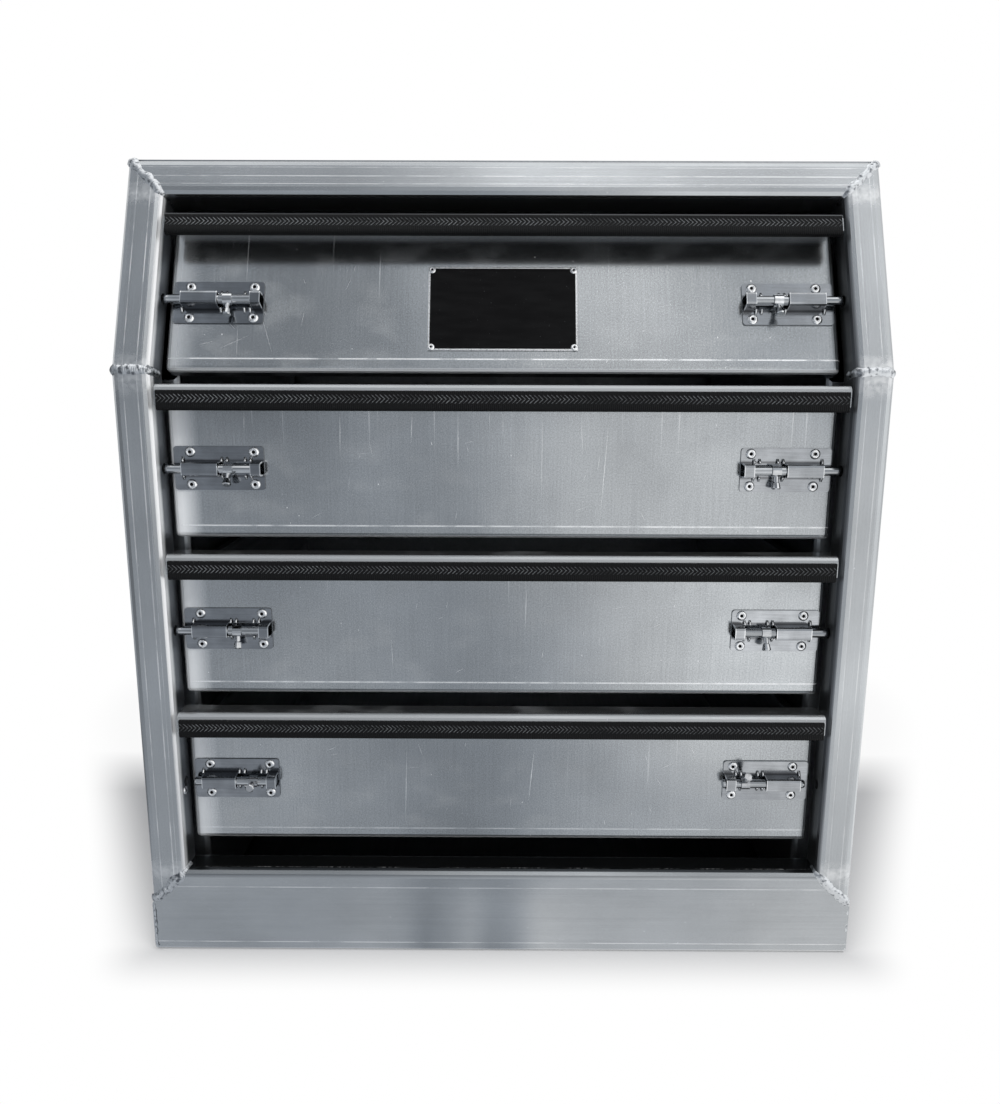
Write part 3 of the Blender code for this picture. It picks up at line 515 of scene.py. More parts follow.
def noise_of(place, scale, detail=3.0, roughness=0.5):
    """Noise about 0.5. The scale is given per metre along each axis."""
    stretched = vector_math("MULTIPLY", place, scale)
    inputs = (("Vector", stretched), ("Scale", 1.0), ("Detail", detail), ("Roughness", roughness))
    return node(place.tree, "TexNoise", inputs, "Fac")


def map_range(value, low, high, to_low=0.0, to_high=1.0):
    return node(value.tree, "MapRange", enumerate((value, low, high, to_low, to_high)))


def near_line(value, centre, half_width):
    """1 on the line where the value is centre, falling to 0 at the half width on both sides."""
    return map_range(abs(value - centre), 0.0, half_width, 1.0, 0.0)


def blend_of(factor, a, b):
    return node(factor.tree, "Mix", (("Factor", factor), ("A", a), ("B", b)))


def colour_between(factor, a, b):
    a, b = [colour if isinstance(colour, Value) else (*colour, 1.0) for colour in (a, b)]
    return node(factor.tree, "Mix", (("Factor", factor), ("A", a), ("B", b)), "Result", data_type="RGBA")


def graded(tone, low, high, dark, light):
    """A colour that goes from dark to light while the tone goes from low to high."""
    return colour_between(map_range(tone, low, high), dark, light)


def shades(base, darker, lighter):
    """A darker and a lighter shade of a colour."""
    return [tuple(share * value for value in base) for share in (darker, lighter)]


def new_material(name, matrix=None):
    """A new material, its shader, and object coordinates turned into the frame of this matrix."""
    material = bpy.data.materials.new(name)
    material.use_nodes = True
    tree = material.node_tree
    tree.nodes.clear()
    output = tree.nodes.new("ShaderNodeOutputMaterial")
    shader = tree.nodes.new("ShaderNodeBsdfPrincipled")
    tree.links.new(shader.outputs["BSDF"], output.inputs["Surface"])
    place = node(tree, "TexCoord", (), "Object")
    if matrix is not None:
        moved = vector_math("SUBTRACT", place, matrix.translation)
        inputs = (("Vector", moved), ("Rotation", matrix.to_euler()))
        place = node(tree, "VectorRotate", inputs, rotation_type="EULER_XYZ", invert=True)
    return material, shader, place


def surface(shader, base, rough, metallic=1.0, specular=0.5):
    names = ("Base Color", "Roughness", "Metallic", "Specular IOR Level")
    for name, value in zip(names, (base, rough, metallic, specular)):
        feed(shader.inputs[name], value)


def bump(shader, height, strength, distance, waves=None, swell=0.0):
    """Fine relief, over broad waves that swell this many metres where they are given."""
    inputs = [("Height", height), ("Strength", strength), ("Distance", distance)]
    if waves is not None:
        inputs.append(("Normal", node(waves.tree, "Bump", (("Height", waves), ("Distance", swell)))))
    feed(shader.inputs["Normal"], node(height.tree, "Bump", inputs))


# Materials


def ledge_scuffs(place, across, depth, ledge):
    """The broken bright line along a rail's upper side."""
    side, offset, half_width = ledge
    coarse = map_range(noise_of(place, (1.0, 1.0, 19.0)), 0.42, 0.58)
    fine = map_range(noise_of(place, (1.0, 1.0, 210.0), 4.0, 0.7), 0.40, 0.60, 0.0, 0.8)
    return near_line(depth, offset, half_width) * (across > side) * (coarse * fine)


def ledge_shade(across, side, base):
    """Painted shade: darkens the last stretch up to a rail's upper side, and the side itself."""
    brink = map_range(across, side - BRINK_START, side - BRINK_END, 0.0, 0.55)
    base = colour_between(brink, base, (0.10, 0.11, 0.12))
    return colour_between(across > side + BRINK_TOP, base, (0.06, 0.065, 0.07))


def tube_inside_painted_light(across, depth, inner, looks):
    """The colour, roughness and share of metal of a stile, changed on the side that faces the drawers: the
    rounding is painted pale as a highlight on the left stile and dark as shade on the right, and the flat
    behind it dark as shade.
    """
    base, rough, metallic = looks
    towards, colour, metal_share, behind = inner
    half = TUBE_SIZE / 2
    face = map_range(across * towards, half - INSIDE_START, half - INSIDE_FULL)
    deep = face * map_range(depth, FLAT_START - half, FLAT_FULL - half)
    # Painted light: the rounding is pale as a highlight on the left stile and dark as shade on the right, and
    # the flat behind it is dark as shade
    base = colour_between(face, base, colour)
    base = colour_between(deep, base, behind)
    return base, rough + face * 0.18, metallic - (face - deep) * (METAL_SHARE - metal_share)


def tube_metal(name, matrix, lines, blooms=(), ledge=None, inner=None):
    """Extruded tube along the matrix's Z: die lines along it, fine scratches and a dull bloom. Where it was
    welded it is paler, a ledge is a broken bright line along its upper side with painted shade up to it, and
    inner gives the side that faces the drawers painted highlight and shade, and its own gloss."""
    material, shader, place = new_material(name, matrix)
    across, depth, along = split(place)
    streaks = noise_of(place, (420.0, 420.0, 5.0), 2.0)
    bloom = noise_of(place, (16.0, 16.0, 9.0), 4.0)
    waves = noise_of(place, (9.0, 9.0, 5.0), 1.0)
    grain = noise_of(place, (760.0, 760.0, 620.0), 2.0, 0.7)
    specks = noise_of(place, (330.0, 330.0, 190.0), 2.0)
    broken = noise_of(place, (30.0, 30.0, 26.0))
    cloud = noise_of(place, (170.0, 170.0, 170.0), 4.0)
    marks = strongest(*[near_line(across, offset, half) * gain for offset, half, gain in lines])
    marks = marks * map_range(broken, 0.38, 0.56, 0.30, 1.0)
    if ledge is not None:
        marks = strongest(marks, ledge_scuffs(place, across, depth, ledge))
    haze = strongest(0.0, *[near_line(along, centre, half) for centre, half in blooms])
    haze = map_range(cloud, 0.35, 0.62, 0.2, 1.0) * haze
    tone = bloom * 0.6 + streaks * 0.2 + grain * 0.2
    base = graded(tone, 0.3, 0.7, (0.348, 0.364, 0.377), (0.463, 0.484, 0.501))
    base = colour_between(haze * 0.8, base, (0.70, 0.71, 0.72))
    base = colour_between(map_range(specks, 0.76, 0.80, 0.0, 0.5), base, (0.88, 0.90, 0.92))
    if ledge is not None:
        base = ledge_shade(across, ledge[0], base)
    base = colour_between(marks, base, (0.95, 0.96, 0.98))
    rough = map_range(tone, 0.3, 0.7, 0.27, 0.19) + strongest(marks, haze) * 0.2
    looks = base, rough, METAL_SHARE - marks * 0.45
    if inner is not None:
        looks = tube_inside_painted_light(across, depth, inner, looks)
    surface(shader, *looks)
    bump(shader, streaks + marks, 0.12, 0.0003, waves, 0.0010)
    return material


def sheet_metal(name, dark, light, bloom_scale=(9.0, 9.0, 9.0)):
    """Mill-finish sheet with soft blooms and fine rolling streaks."""
    material, shader, place = new_material(name)
    streaks = noise_of(place, (260.0, 6.0, 260.0), 2.0)
    tone = noise_of(place, bloom_scale, 4.0) * 0.6 + streaks * 0.4
    surface(shader, graded(tone, 0.3, 0.7, dark, light), map_range(tone, 0.3, 0.7, 0.42, 0.30))
    bump(shader, streaks, 0.08, 0.0003)
    return material


def front_marks(index, spread, depth, up):
    """The bright scribed line by itself, and with the drips below the trim, flecks and the lower fold."""
    broken = map_range(noise_of(spread, (38.0, 1.0, 1.0), 4.0), 0.38, 0.52, 0.35, 1.0)
    scribe = near_line(up, SCRIBE_RISE, SCRIBE_HALF_WIDTH) * broken * SCRIBE_GAINS[index]
    zone = map_range(up, TRIM_BOTTOM - DRIP_LENGTH, TRIM_BOTTOM, 0.0, 0.7) * (depth > -FACE_MARGIN)
    drips = map_range(noise_of(spread, (230.0, 1.0, 3.0), 1.0), 0.68, 0.74) * zone
    flecks = map_range(noise_of(spread, (420.0, 420.0, 150.0), 1.0), 0.77, 0.81, 0.0, 0.8)
    fold = map_range(up, *FOLD_RISE, 0.8, 0.0) * (depth < FOLD_DEPTH)
    return scribe, strongest(scribe, drips, flecks, fold)


def lip_masks(index, depth, up):
    """Where the lip's underside, its outer skin and its rolled front edge are."""
    under = (up > TRIM_BOTTOM) * (up < FRONT_HEIGHT - LIP_SHEET)
    under = under * (depth < -UNDER_START) * (depth > UNDER_END - FRONT_RECESS)
    lip = (up > FRONT_HEIGHT - TRIM_BELOW_LIP - LIP_OVERLAP) * (depth < -LIP_START)
    fade = [back - FRONT_RECESS for back in BROW_FADE]
    return under, lip, lip * map_range(depth, *fade, LIP_DULL[index], 0.0)


def front_metal(index):
    """Drawer front: vertical brush streaks, blooms and smudges, its bright marks, a painted highlight at its
    left end, and the lip's tones, painted near black as shade on the first drawer."""
    material, shader, place = new_material(f"drawer_{index + 1}_front_metal", front_frame(index))
    shift = 7.3 * (index + 1)
    spread = vector_math("ADD", place, (shift, 0.0, shift))
    across, depth, up = split(place)
    streaks = noise_of(spread, (520.0, 520.0, 9.0), 3.0, 0.6)
    bloom = noise_of(spread, (7.0, 7.0, 9.0), 5.0, 0.55)
    waves = noise_of(spread, (8.0, 8.0, 5.0), 1.0)
    grain = noise_of(spread, (680.0, 680.0, 620.0), 3.0, 0.75)
    smudges = noise_of(spread, (20.0, 20.0, 34.0), 4.0)
    scribe, marks = front_marks(index, spread, depth, up)
    under, lip, brow = lip_masks(index, depth, up)
    # Painted highlight: the face is painted pale and dull towards its left end
    paler_share = map_range(across, PAINTED_HIGHLIGHT_REACH / 3 - FRONT_HALF, PAINTED_HIGHLIGHT_REACH - FRONT_HALF, 1.0, 0.0)
    paler_share = paler_share * (depth > -FACE_MARGIN) * PAINTED_HIGHLIGHT_GAINS[index]
    tone = bloom * 0.30 + streaks * 0.14 + grain * 0.56
    base = graded(tone, 0.34, 0.66, (0.270, 0.284, 0.295), (0.509, 0.533, 0.551))
    base = colour_between(paler_share * 0.95, base, (0.93, 0.95, 0.97))
    base = colour_between(marks, base, (0.92, 0.94, 0.96))
    # The lip's outer skin takes its tone, painted near black as shade on the first drawer
    base = colour_between(lip * 0.92, base, LIP_TONES_AND_PAINTED_SHADE[index])
    base = colour_between(under, base, (0.84, 0.86, 0.88))
    smudged = map_range(smudges, 0.52, 0.68, 0.0, 0.14)
    dull = strongest(strongest(marks * 0.55, under) * 0.9, smudged, paler_share * 0.62, brow)
    surface(shader, base, map_range(tone, 0.34, 0.66, 0.21, 0.15) + marks * 0.15, METAL_SHARE - dull)
    bump(shader, streaks + scribe, 0.10, 0.0003, waves, 0.0016)
    return material


def bolt_metal(index, word, side):
    """Pressed stainless steel: fine grain along the bolt, painted shade in the folds and bright cut edges."""
    material, shader, place = new_material(f"drawer_{index + 1}_bolt_{word}_metal", bolt_frame(index, side))
    along, up, out = split(place)
    grain = noise_of(place, (30.0, 900.0, 900.0), 3.0, 0.6)
    tone = grain * 0.4 + noise_of(place, (45.0, 45.0, 45.0), 4.0) * 0.6
    cut = strongest(*[near_line(along, end, CUT_HALF_WIDTH) for end in COVER_ENDS]) * (out > 2 * BOLT_SHEET)
    # Painted shade: dark along the creases where each cover meets the plate
    painted_crease_shade = near_line(abs(up), COVER_FOOT, CREASE_SHADE_HALF_WIDTH) * (along > COVER_ENDS[0])
    colour = graded(tone, 0.35, 0.65, *shades(BOLT_TONES[word], 0.78, 1.16))
    colour = colour_between(painted_crease_shade * 0.75, colour, (0.07, 0.07, 0.075))
    colour = colour_between(cut, colour, (0.90, 0.91, 0.92))
    surface(shader, colour, map_range(tone, 0.35, 0.65, 0.20, 0.11))
    bump(shader, grain, 0.10, 0.0002)
    return material


def satin_steel(name, base, roughness, grain_scale, strength):
    """Stainless steel with fine grain along the bolt."""
    material, shader, place = new_material(name)
    grain = noise_of(place, grain_scale, 3.0, 0.6)
    tone = grain * 0.5 + noise_of(place, (60.0, 60.0, 60.0)) * 0.5
    colour = graded(tone, 0.35, 0.65, *shades(base, 0.82, 1.12))
    surface(shader, colour, map_range(tone, 0.35, 0.65, roughness + 0.06, roughness - 0.04))
    bump(shader, grain, strength, 0.0002)
    return material


def weld_metal():
    """Cast ripples with sooty smut between them, and bright crests."""
    material, shader, place = new_material("weld_metal")
    pitted = noise_of(place, (700.0, 700.0, 700.0), 4.0, 0.6)
    sooty = noise_of(place, (260.0, 260.0, 260.0))
    base = graded(sooty, 0.34, 0.50, (0.14, 0.15, 0.165), (0.58, 0.60, 0.62))
    surface(shader, base, map_range(pitted, 0.3, 0.7, 0.28, 0.42))
    bump(shader, pitted, 0.18, 0.0004)
    return material


def braid(index):
    """Black braided trim: strands slant to a herringbone along its upper part, and fine ribs run below."""
    material, shader, place = new_material(f"drawer_{index + 1}_braid", front_frame(index))
    along, _, up = split(place)
    aside = abs(up - (FRONT_HEIGHT - TRIM_BELOW_LIP - TRIM_HEIGHT * BRAID_MIDDLE))
    slant = along + aside * STRAND_SLANT
    strands = math_node("SINE", slant * (2 * math.pi / STRAND_PITCH))
    ribs = math_node("SINE", along * (2 * math.pi / RIB_PITCH))
    weave = strands * map_range(aside, *STRAND_FADE, 1.0, 0.0) + ribs * map_range(aside, *RIB_FADE, 0.0, 0.45)
    lint = noise_of(place, (500.0, 500.0, 900.0), 2.0)
    worn = noise_of(place, (14.0, 14.0, 60.0))
    # The weave's crests are painted paler, partly as lint and partly as painted sheen where the strands catch
    # the light
    lint_and_painted_sheen = map_range(weave * lint, 0.26, 0.52) * map_range(worn, 0.35, 0.62, 0.15, 1.0)
    base = colour_between(lint_and_painted_sheen, (0.0042, 0.0045, 0.0050), (0.14, 0.15, 0.16))
    surface(shader, base, map_range(lint_and_painted_sheen, 0.0, 1.0, 0.60, 0.42), 0.0, 0.14)
    bump(shader, weave, 0.8, 0.0005)
    return material


def plate_black():
    """Satin black plate with faint wipe marks and dust."""
    material, shader, place = new_material("plate_black")
    paler_share = noise_of(place, (30.0, 30.0, 160.0))
    dust = noise_of(place, (900.0, 900.0, 900.0), 1.0)
    base = graded(paler_share, 0.35, 0.7, (0.0024, 0.0025, 0.0028), (0.0046, 0.0048, 0.0052))
    base = colour_between(map_range(dust, 0.77, 0.83, 0.0, 0.5), base, (0.20, 0.21, 0.22))
    surface(shader, base, map_range(paler_share, 0.35, 0.7, 0.38, 0.46), 0.0, 0.05)
    bump(shader, dust, 0.05, 0.0002)
    return material


def plain_metal(name, base, roughness):
    """Bright turned or rubbed-clean metal for small pieces, with fine scuffs."""
    material, shader, place = new_material(name)
    scuffs = noise_of(place, (600.0, 600.0, 600.0))
    colour = graded(scuffs, 0.35, 0.6, *shades(base, 0.75, 1.0))
    surface(shader, colour, map_range(scuffs, 0.3, 0.7, roughness, roughness + 0.12))
    bump(shader, scuffs, 0.06, 0.0002)
    return material


def hole_painted_shade():
    """Painted shade: near black inside the shallow rivet holes and the screw's recess."""
    material, shader, place = new_material("hole_painted_shade")
    shade_mottle = noise_of(place, (400.0, 400.0, 400.0), 2.0)
    surface(shader, colour_between(shade_mottle, (0.002, 0.002, 0.002), (0.007, 0.007, 0.008)), 0.7, 0.0, 0.05)
    return material


def dress(names, material):
    for name in names:
        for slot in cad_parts[name].material_slots:
            slot.material = material


def dress_frame():
    """Gives the welded front frame its tube metal, with die lines and the pale bloom beside each weld."""
    middle = HALF_WIDTH - TUBE_SIZE / 2
    upper_middle = leaning(LEAN_LENGTH / 2, TUBE_SIZE / 2)
    for word, side in SIDES:
        lower = Matrix.Translation((side * middle, FRONT_Y + TUBE_SIZE / 2, KINK_HEIGHT / 2))
        upper = axes((1, 0, 0), LEAN_BACK, LEAN_UP, (side * middle, upper_middle.y, upper_middle.z))
        lines = [(offset, half, STILE_LINE_GAINS[word] * gain) for offset, half, gain in STILE_LINES]
        for part, place, blooms in (("lower", lower, LOWER_BLOOMS), ("upper", upper, UPPER_BLOOMS)):
            metal = tube_metal(f"{part}_stile_metal_{word}", place, lines, blooms, None, STILE_INSIDE_PAINTED_LIGHT[word])
            dress([f"front_stile_{part}_{word}"], metal)
    top = axes(LEAN_UP, LEAN_BACK, (-1, 0, 0), leaning(LEAN_LENGTH - TUBE_SIZE / 2, TUBE_SIZE / 2))
    dress(["front_top_rail"], tube_metal("top_rail_metal", top, TOP_RAIL_LINES))
    low_middle = (0.0, FRONT_Y + TUBE_SIZE / 2, BOTTOM_RAIL_HEIGHT / 2)
    low = axes((0, 0, 1), (0, 1, 0), (-1, 0, 0), low_middle)
    dress(["front_bottom_rail"], tube_metal("bottom_rail_metal", low, BOTTOM_RAIL_LINES, (), LEDGE))


def dress_nodes():
    """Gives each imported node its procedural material."""
    dress_frame()
    skin = sheet_metal("skin_metal", (0.31, 0.325, 0.34), (0.43, 0.45, 0.465))
    dress(["side_panel_left", "side_panel_right", "back_panel", "roof_panel", "floor_panel"], skin)
    carrier = sheet_metal("carrier_metal", (0.30, 0.32, 0.34), (0.42, 0.44, 0.46))
    dress(["slide_carrier_left", "slide_carrier_right"], carrier)
    box = sheet_metal("box_metal", (0.34, 0.36, 0.38), (0.46, 0.48, 0.50), (12.0, 12.0, 12.0))
    zinc = sheet_metal("zinc_metal", (0.40, 0.41, 0.42), (0.56, 0.57, 0.58), (40.0, 40.0, 40.0))
    along_rod, on_knob = (40.0, 500.0, 500.0), (300.0, 300.0, 300.0)
    rods = {
        "left": satin_steel("rod_metal_left", (0.52, 0.535, 0.55), 0.10, along_rod, 0.05),
        "right": satin_steel("rod_metal_right", (0.33, 0.345, 0.36), 0.12, along_rod, 0.05),
    }
    knob = satin_steel("knob_metal", (0.54, 0.555, 0.57), 0.08, on_knob, 0.04)
    worn_knob = satin_steel("worn_knob_metal", (0.41, 0.42, 0.435), 0.18, on_knob, 0.04)
    for index, drawer in enumerate(DRAWERS):
        dress([drawer + "_front"], front_metal(index))
        dress([drawer + "_grip"], braid(index))
        dress([drawer + "_box"], box)
        for word, side in SIDES:
            dress([f"{drawer}_slide_{word}"], zinc)
            dress([f"{drawer}_bolt_{word}_body"], bolt_metal(index, word, side))
            dress([f"{drawer}_bolt_{word}_rod"], rods[word])
            dress([f"{drawer}_bolt_{word}_knob"], worn_knob if drawer == DRAWERS[-1] else knob)
    dress(["name_plate"], plate_black())


# Small fasteners


def bolt_rivets(bm, index, side):
    for inwards in (RIVET_FROM_OUTER_END, BOLT_LENGTH - RIVET_FROM_INNER_END):
        for up in (-RIVET_OFF_AXIS, RIVET_OFF_AXIS):
            add_rivet(bm, bolt_frame(index, side) @ Matrix.Translation((inwards, up, BOLT_SHEET)))


def plate_rivets(bm):
    out = Matrix.Rotation(math.pi / 2, 4, "X")
    low, high = PLATE_RISE + PLATE_RIVET_INSET, PLATE_RISE + PLATE_HEIGHT - PLATE_RIVET_INSET
    reach = PLATE_WIDTH / 2 - PLATE_RIVET_INSET
    for x in (-reach, reach):
        for up in (low, high):
            place = front_frame(0) @ Matrix.Translation((x, -PLATE_THICKNESS, up)) @ out
            add_rivet(bm, place, PLATE_RIVET_SCALE)


def add_foot(bm, place, inwards, side):
    """A little hook lanced from the plate, that grips the cover's side."""
    start, end = inwards - FOOT_WIDTH / 2, inwards + FOOT_WIDTH / 2
    rings = []
    for out, height in FOOT_PROFILE:
        y = side * (COVER_HALF + out)
        low, high = BOLT_SHEET + height, BOLT_SHEET + height + FOOT_THICKNESS
        ring = [(start, y, low), (end, y, low), (end, y, high), (start, y, high)]
        rings.append([bm.verts.new(place @ Vector(corner)) for corner in ring])
    join_rings(bm, rings)
    bm.faces.new(rings[0])
    bm.faces.new(rings[-1][::-1])


def plate_outline(inset):
    """The bolt plate's outline, this far inside its edge, with its rounded corners."""
    radius = BOLT_ROUND - inset
    made = []
    for corner, (x, y) in enumerate(((1, 1), (0, 1), (0, 0), (1, 0))):
        centre_x = (BOLT_LENGTH - BOLT_ROUND) if x else BOLT_ROUND
        centre_y = (BOLT_WIDTH / 2 - BOLT_ROUND) * (1 if y else -1)
        for step in range(CORNER_STEPS + 1):
            turn = math.pi / 2 * (corner + step / CORNER_STEPS)
            made.append((centre_x + radius * math.cos(turn), centre_y + radius * math.sin(turn)))
    return made


def add_plate_edge(bm, place):
    """A narrow rolled edge round the bolt plate, that catches the light."""
    rings = []
    for inset, height in (
        (-EDGE_PROUD, BOLT_SHEET - EDGE_DROP),
        (EDGE_WIDTH / 3, BOLT_SHEET + EDGE_PROUD),
        (EDGE_WIDTH, BOLT_SHEET + 2 * EDGE_PROUD),
        (EDGE_WIDTH + EDGE_PROUD, BOLT_SHEET - EDGE_DROP),
    ):
        rings.append([bm.verts.new(place @ Vector((x, y, height))) for x, y in plate_outline(inset)])
    join_rings(bm, rings + rings[:1])


def stile_screw(steel, hole):
    """The pan-head screw in the left stile's inner face, beside the lowest drawer."""
    bm = bmesh.new()
    place = axes((0, 1, 0), (0, 0, 1), (1, 0, 0), SCREW_PLACE)
    mouth = add_turned(bm, place, SCREW_PROFILE, SCREW_SIDES, 0)
    add_turned(bm, place, SCREW_RECESS, SCREW_SIDES, 1, mouth)
    shade_smooth(mesh_piece("stile_screw", bm, [steel, hole], "cabinet"))


def fasteners(rivet, hole, steel, edge):
    """Each drawer's rivets, and its bolts' feet and bright edges."""
    for index, drawer in enumerate(DRAWERS):
        rivets, feet, edges = bmesh.new(), bmesh.new(), bmesh.new()
        for _, side in SIDES:
            place = bolt_frame(index, side)
            bolt_rivets(rivets, index, side)
            add_plate_edge(edges, place)
            for inwards in FOOT_PLACES:
                for up in (-1, 1):
                    add_foot(feet, place, inwards, up)
        if index == 0:
            plate_rivets(rivets)
        shade_smooth(mesh_piece(f"{drawer}_rivets", rivets, [rivet, hole], drawer))
        shade_smooth(mesh_piece(f"{drawer}_bolt_feet", feet, [steel], drawer))
        shade_smooth(mesh_piece(f"{drawer}_bolt_edges", edges, [edge], drawer))


def plate_rim(material):
    """The bright cut edge round the blank plate."""
    bm = bmesh.new()
    front = -(PLATE_THICKNESS + RIM_RISE)
    rings = []
    for inset, y in ((0.0, -RIM_RISE), (0.0, front), (RIM_WIDTH, front), (RIM_WIDTH, -RIM_RISE)):
        reach = PLATE_WIDTH / 2 - inset
        low, high = PLATE_RISE + inset, PLATE_RISE + PLATE_HEIGHT - inset
        ring = [(-reach, y, low), (reach, y, low), (reach, y, high), (-reach, y, high)]
        rings.append([bm.verts.new(front_frame(0) @ Vector(corner)) for corner in ring])
    join_rings(bm, rings + rings[:1])
    mesh_piece("name_plate_rim", bm, [material], "drawer_1")


# Weld beads


def resampled(points, step):
    """Points a step apart along a path of (place, normal) pairs."""
    made = []
    for (a, normal_a), (b, normal_b) in zip(points, points[1:]):
        count = max(1, round((b - a).length / step))
        for number in range(count):
            share = number / count
            made.append((a.lerp(b, share), normal_a.lerp(normal_b, share).normalized()))
    made.append(points[-1])
    return made


def add_bead(bm, path, half_width, height, seed, uneven):
    """A rippled, uneven bead along the path, sunk a little into the metal."""
    samples = resampled(path, BEAD_STEP)
    run = 0.0
    rings = []
    for number, (place, normal) in enumerate(samples):
        before = samples[max(0, number - 1)][0]
        after = samples[min(len(samples) - 1, number + 1)][0]
        along = (after - before).normalized()
        aside = normal.cross(along).normalized()
        run += (place - before).length
        ends = min(1.0, (number + 0.4) / 3, (len(samples) - 0.6 - number) / 3)
        wander = noise.noise(Vector((run * 160.0, seed, 0.3)))
        swell = noise.noise(Vector((run * 90.0, seed, 7.7))) * uneven
        ring = []
        for step in range(BEAD_SIDES + 1):
            across = 2.0 * step / BEAD_SIDES - 1.0
            ripple = abs(math.sin(math.pi * (run + RIPPLE_BOW * across * across) / RIPPLE_PITCH))
            rough = noise.noise(Vector((run * 420.0, across * 1.7 + seed, 3.1))) * uneven
            blob = max(0.0, noise.noise(Vector((run * 55.0, seed, 5.9)))) * 1.3 * uneven
            width = half_width * (0.92 + 0.42 * swell + 0.16 * uneven * ripple + 0.35 * blob) * ends
            waved = 1.0 - 0.45 * uneven * (1.0 - ripple)
            rise = height * (1.0 - across * across) * (waved + 0.35 * rough + 0.40 * swell + blob) * ends
            offset = aside * (across * width + wander * half_width * 0.40)
            ring.append(bm.verts.new(place + offset + normal * (rise - BEAD_SINK)))
        rings.append(ring)
    for a, b in zip(rings, rings[1:]):
        for step in range(BEAD_SIDES):
            bm.faces.new([a[step], b[step], b[step + 1], a[step + 1]])


def tube_outline(inner_depth, outer_depth):
    """(across, depth) places and normals round a tube's front, from its inner face to its outer one."""
    r, w = TUBE_CORNER, TUBE_SIZE
    turns = [math.pi / 2 * step / ROUND_STEPS for step in range(1, ROUND_STEPS)]
    made = [((0.0, inner_depth), (-1.0, 0.0)), ((0.0, r), (-1.0, 0.0))]
    for turn in turns:
        made.append(((r - r * math.cos(turn), r - r * math.sin(turn)), (-math.cos(turn), -math.sin(turn))))
    made += [((r, 0.0), (0.0, -1.0)), ((w - r, 0.0), (0.0, -1.0))]
    for turn in turns:
        made.append(((w - r + r * math.sin(turn), r - r * math.cos(turn)), (math.sin(turn), -math.cos(turn))))
    if outer_depth > r:
        made += [((w, r), (1.0, 0.0)), ((w, outer_depth), (1.0, 0.0))]
    return made


def seam(origin, across, behind, outline):
    """The outline laid in the plane of two directions, with its normals out of the tube."""
    path = []
    for (u, v), (nu, nv) in outline:
        normal = (across.normalized() * nu + behind.normalized() * nv).normalized()
        path.append((origin + across * u + behind * v, normal))
    return path


def add_stitches(bm, side, seed):
    """Short stitch welds along one side panel's seams: behind the stiles, at the back and at the roof."""
    x = side * (HALF_WIDTH - STITCH_SINK)
    behind, back, top = FRONT_Y + TUBE_SIZE, BACK_Y - STITCH_SINK, CABINET_HEIGHT - STITCH_SINK
    low, high = leaning(STITCH_INSET, TUBE_SIZE), leaning(LEAN_LENGTH - STITCH_INSET, TUBE_SIZE)
    seams = (
        ((behind, STITCH_INSET), (behind, KINK_HEIGHT - STITCH_INSET), (0.0, 0.0)),
        ((low.y, low.z), (high.y, high.z), (0.0, 0.0)),
        ((back, STITCH_INSET), (back, top - STITCH_INSET), (1.0, 0.0)),
        ((high.y + STITCH_INSET, top), (back - STITCH_INSET, top), (0.0, 1.0)),
    )
    for first, last, facing in seams:
        start, end = Vector((x, *first)), Vector((x, *last))
        normal = Vector((side, *facing)).normalized()
        length = (end - start).length
        count = round(length / STITCH_PITCH) + 1
        for number in range(count):
            begins = (length - STITCH_LENGTH) / max(1, count - 1) * number / length
            shares = (begins, begins + STITCH_LENGTH / length)
            seed += 1.0
            path = [(start.lerp(end, share), normal) for share in shares]
            add_bead(bm, path, STITCH_HALF_WIDTH, STITCH_RISE, seed, STITCH_UNEVEN)


def welds(material):
    """Beads over the kinks, the mitres and the bottom rail's ends, and the side panels' stitches."""
    bm = bmesh.new()
    back, down = Vector((0.0, 1.0, 0.0)), Vector((0.0, 0.0, -1.0))
    bisector = Vector((0.0, 1.0, -math.tan(LEAN / 2)))
    for number, (word, side) in enumerate(SIDES):
        out = Vector((side, 0.0, 0.0))
        kink = Vector((side * OPENING_HALF, FRONT_Y, KINK_HEIGHT))
        top = leaning(LEAN_LENGTH - TUBE_SIZE, 0.0) + out * OPENING_HALF
        low = Vector((side * OPENING_HALF, FRONT_Y, BOTTOM_RAIL_HEIGHT))
        edge_x, edge_y = side * (HALF_WIDTH - EDGE_BEAD_SINK), FRONT_Y + EDGE_BEAD_SINK
        corner = Vector((side, -1.0, 0.0)).normalized()
        ends = (BOTTOM_RAIL_HEIGHT - TUBE_SIZE, EDGE_BEAD_FOOT)
        edge = [(Vector((edge_x, edge_y, z)), corner) for z in ends]
        paths = (
            (seam(kink, out, bisector, tube_outline(*KINK_BEAD_ENDS)), KINK_BEAD, 1.0),
            (seam(top, out + LEAN_UP, LEAN_BACK, tube_outline(*TOP_BEAD_ENDS)), TOP_BEAD, 1.0),
            (seam(low, out + down, back, tube_outline(*LOW_BEAD_ENDS)), LOW_BEAD, 1.0),
            (edge, EDGE_BEADS[word], 0.5),
        )
        for path, (half_width, rise, seed), share in paths:
            add_bead(bm, path, half_width, rise, seed + number, BEAD_UNEVEN[word] * share)
        add_stitches(bm, side, STITCH_SEED + number)
    shade_smooth(mesh_piece("frame_welds", bm, [material], "cabinet"), 60.0)


# Scratches


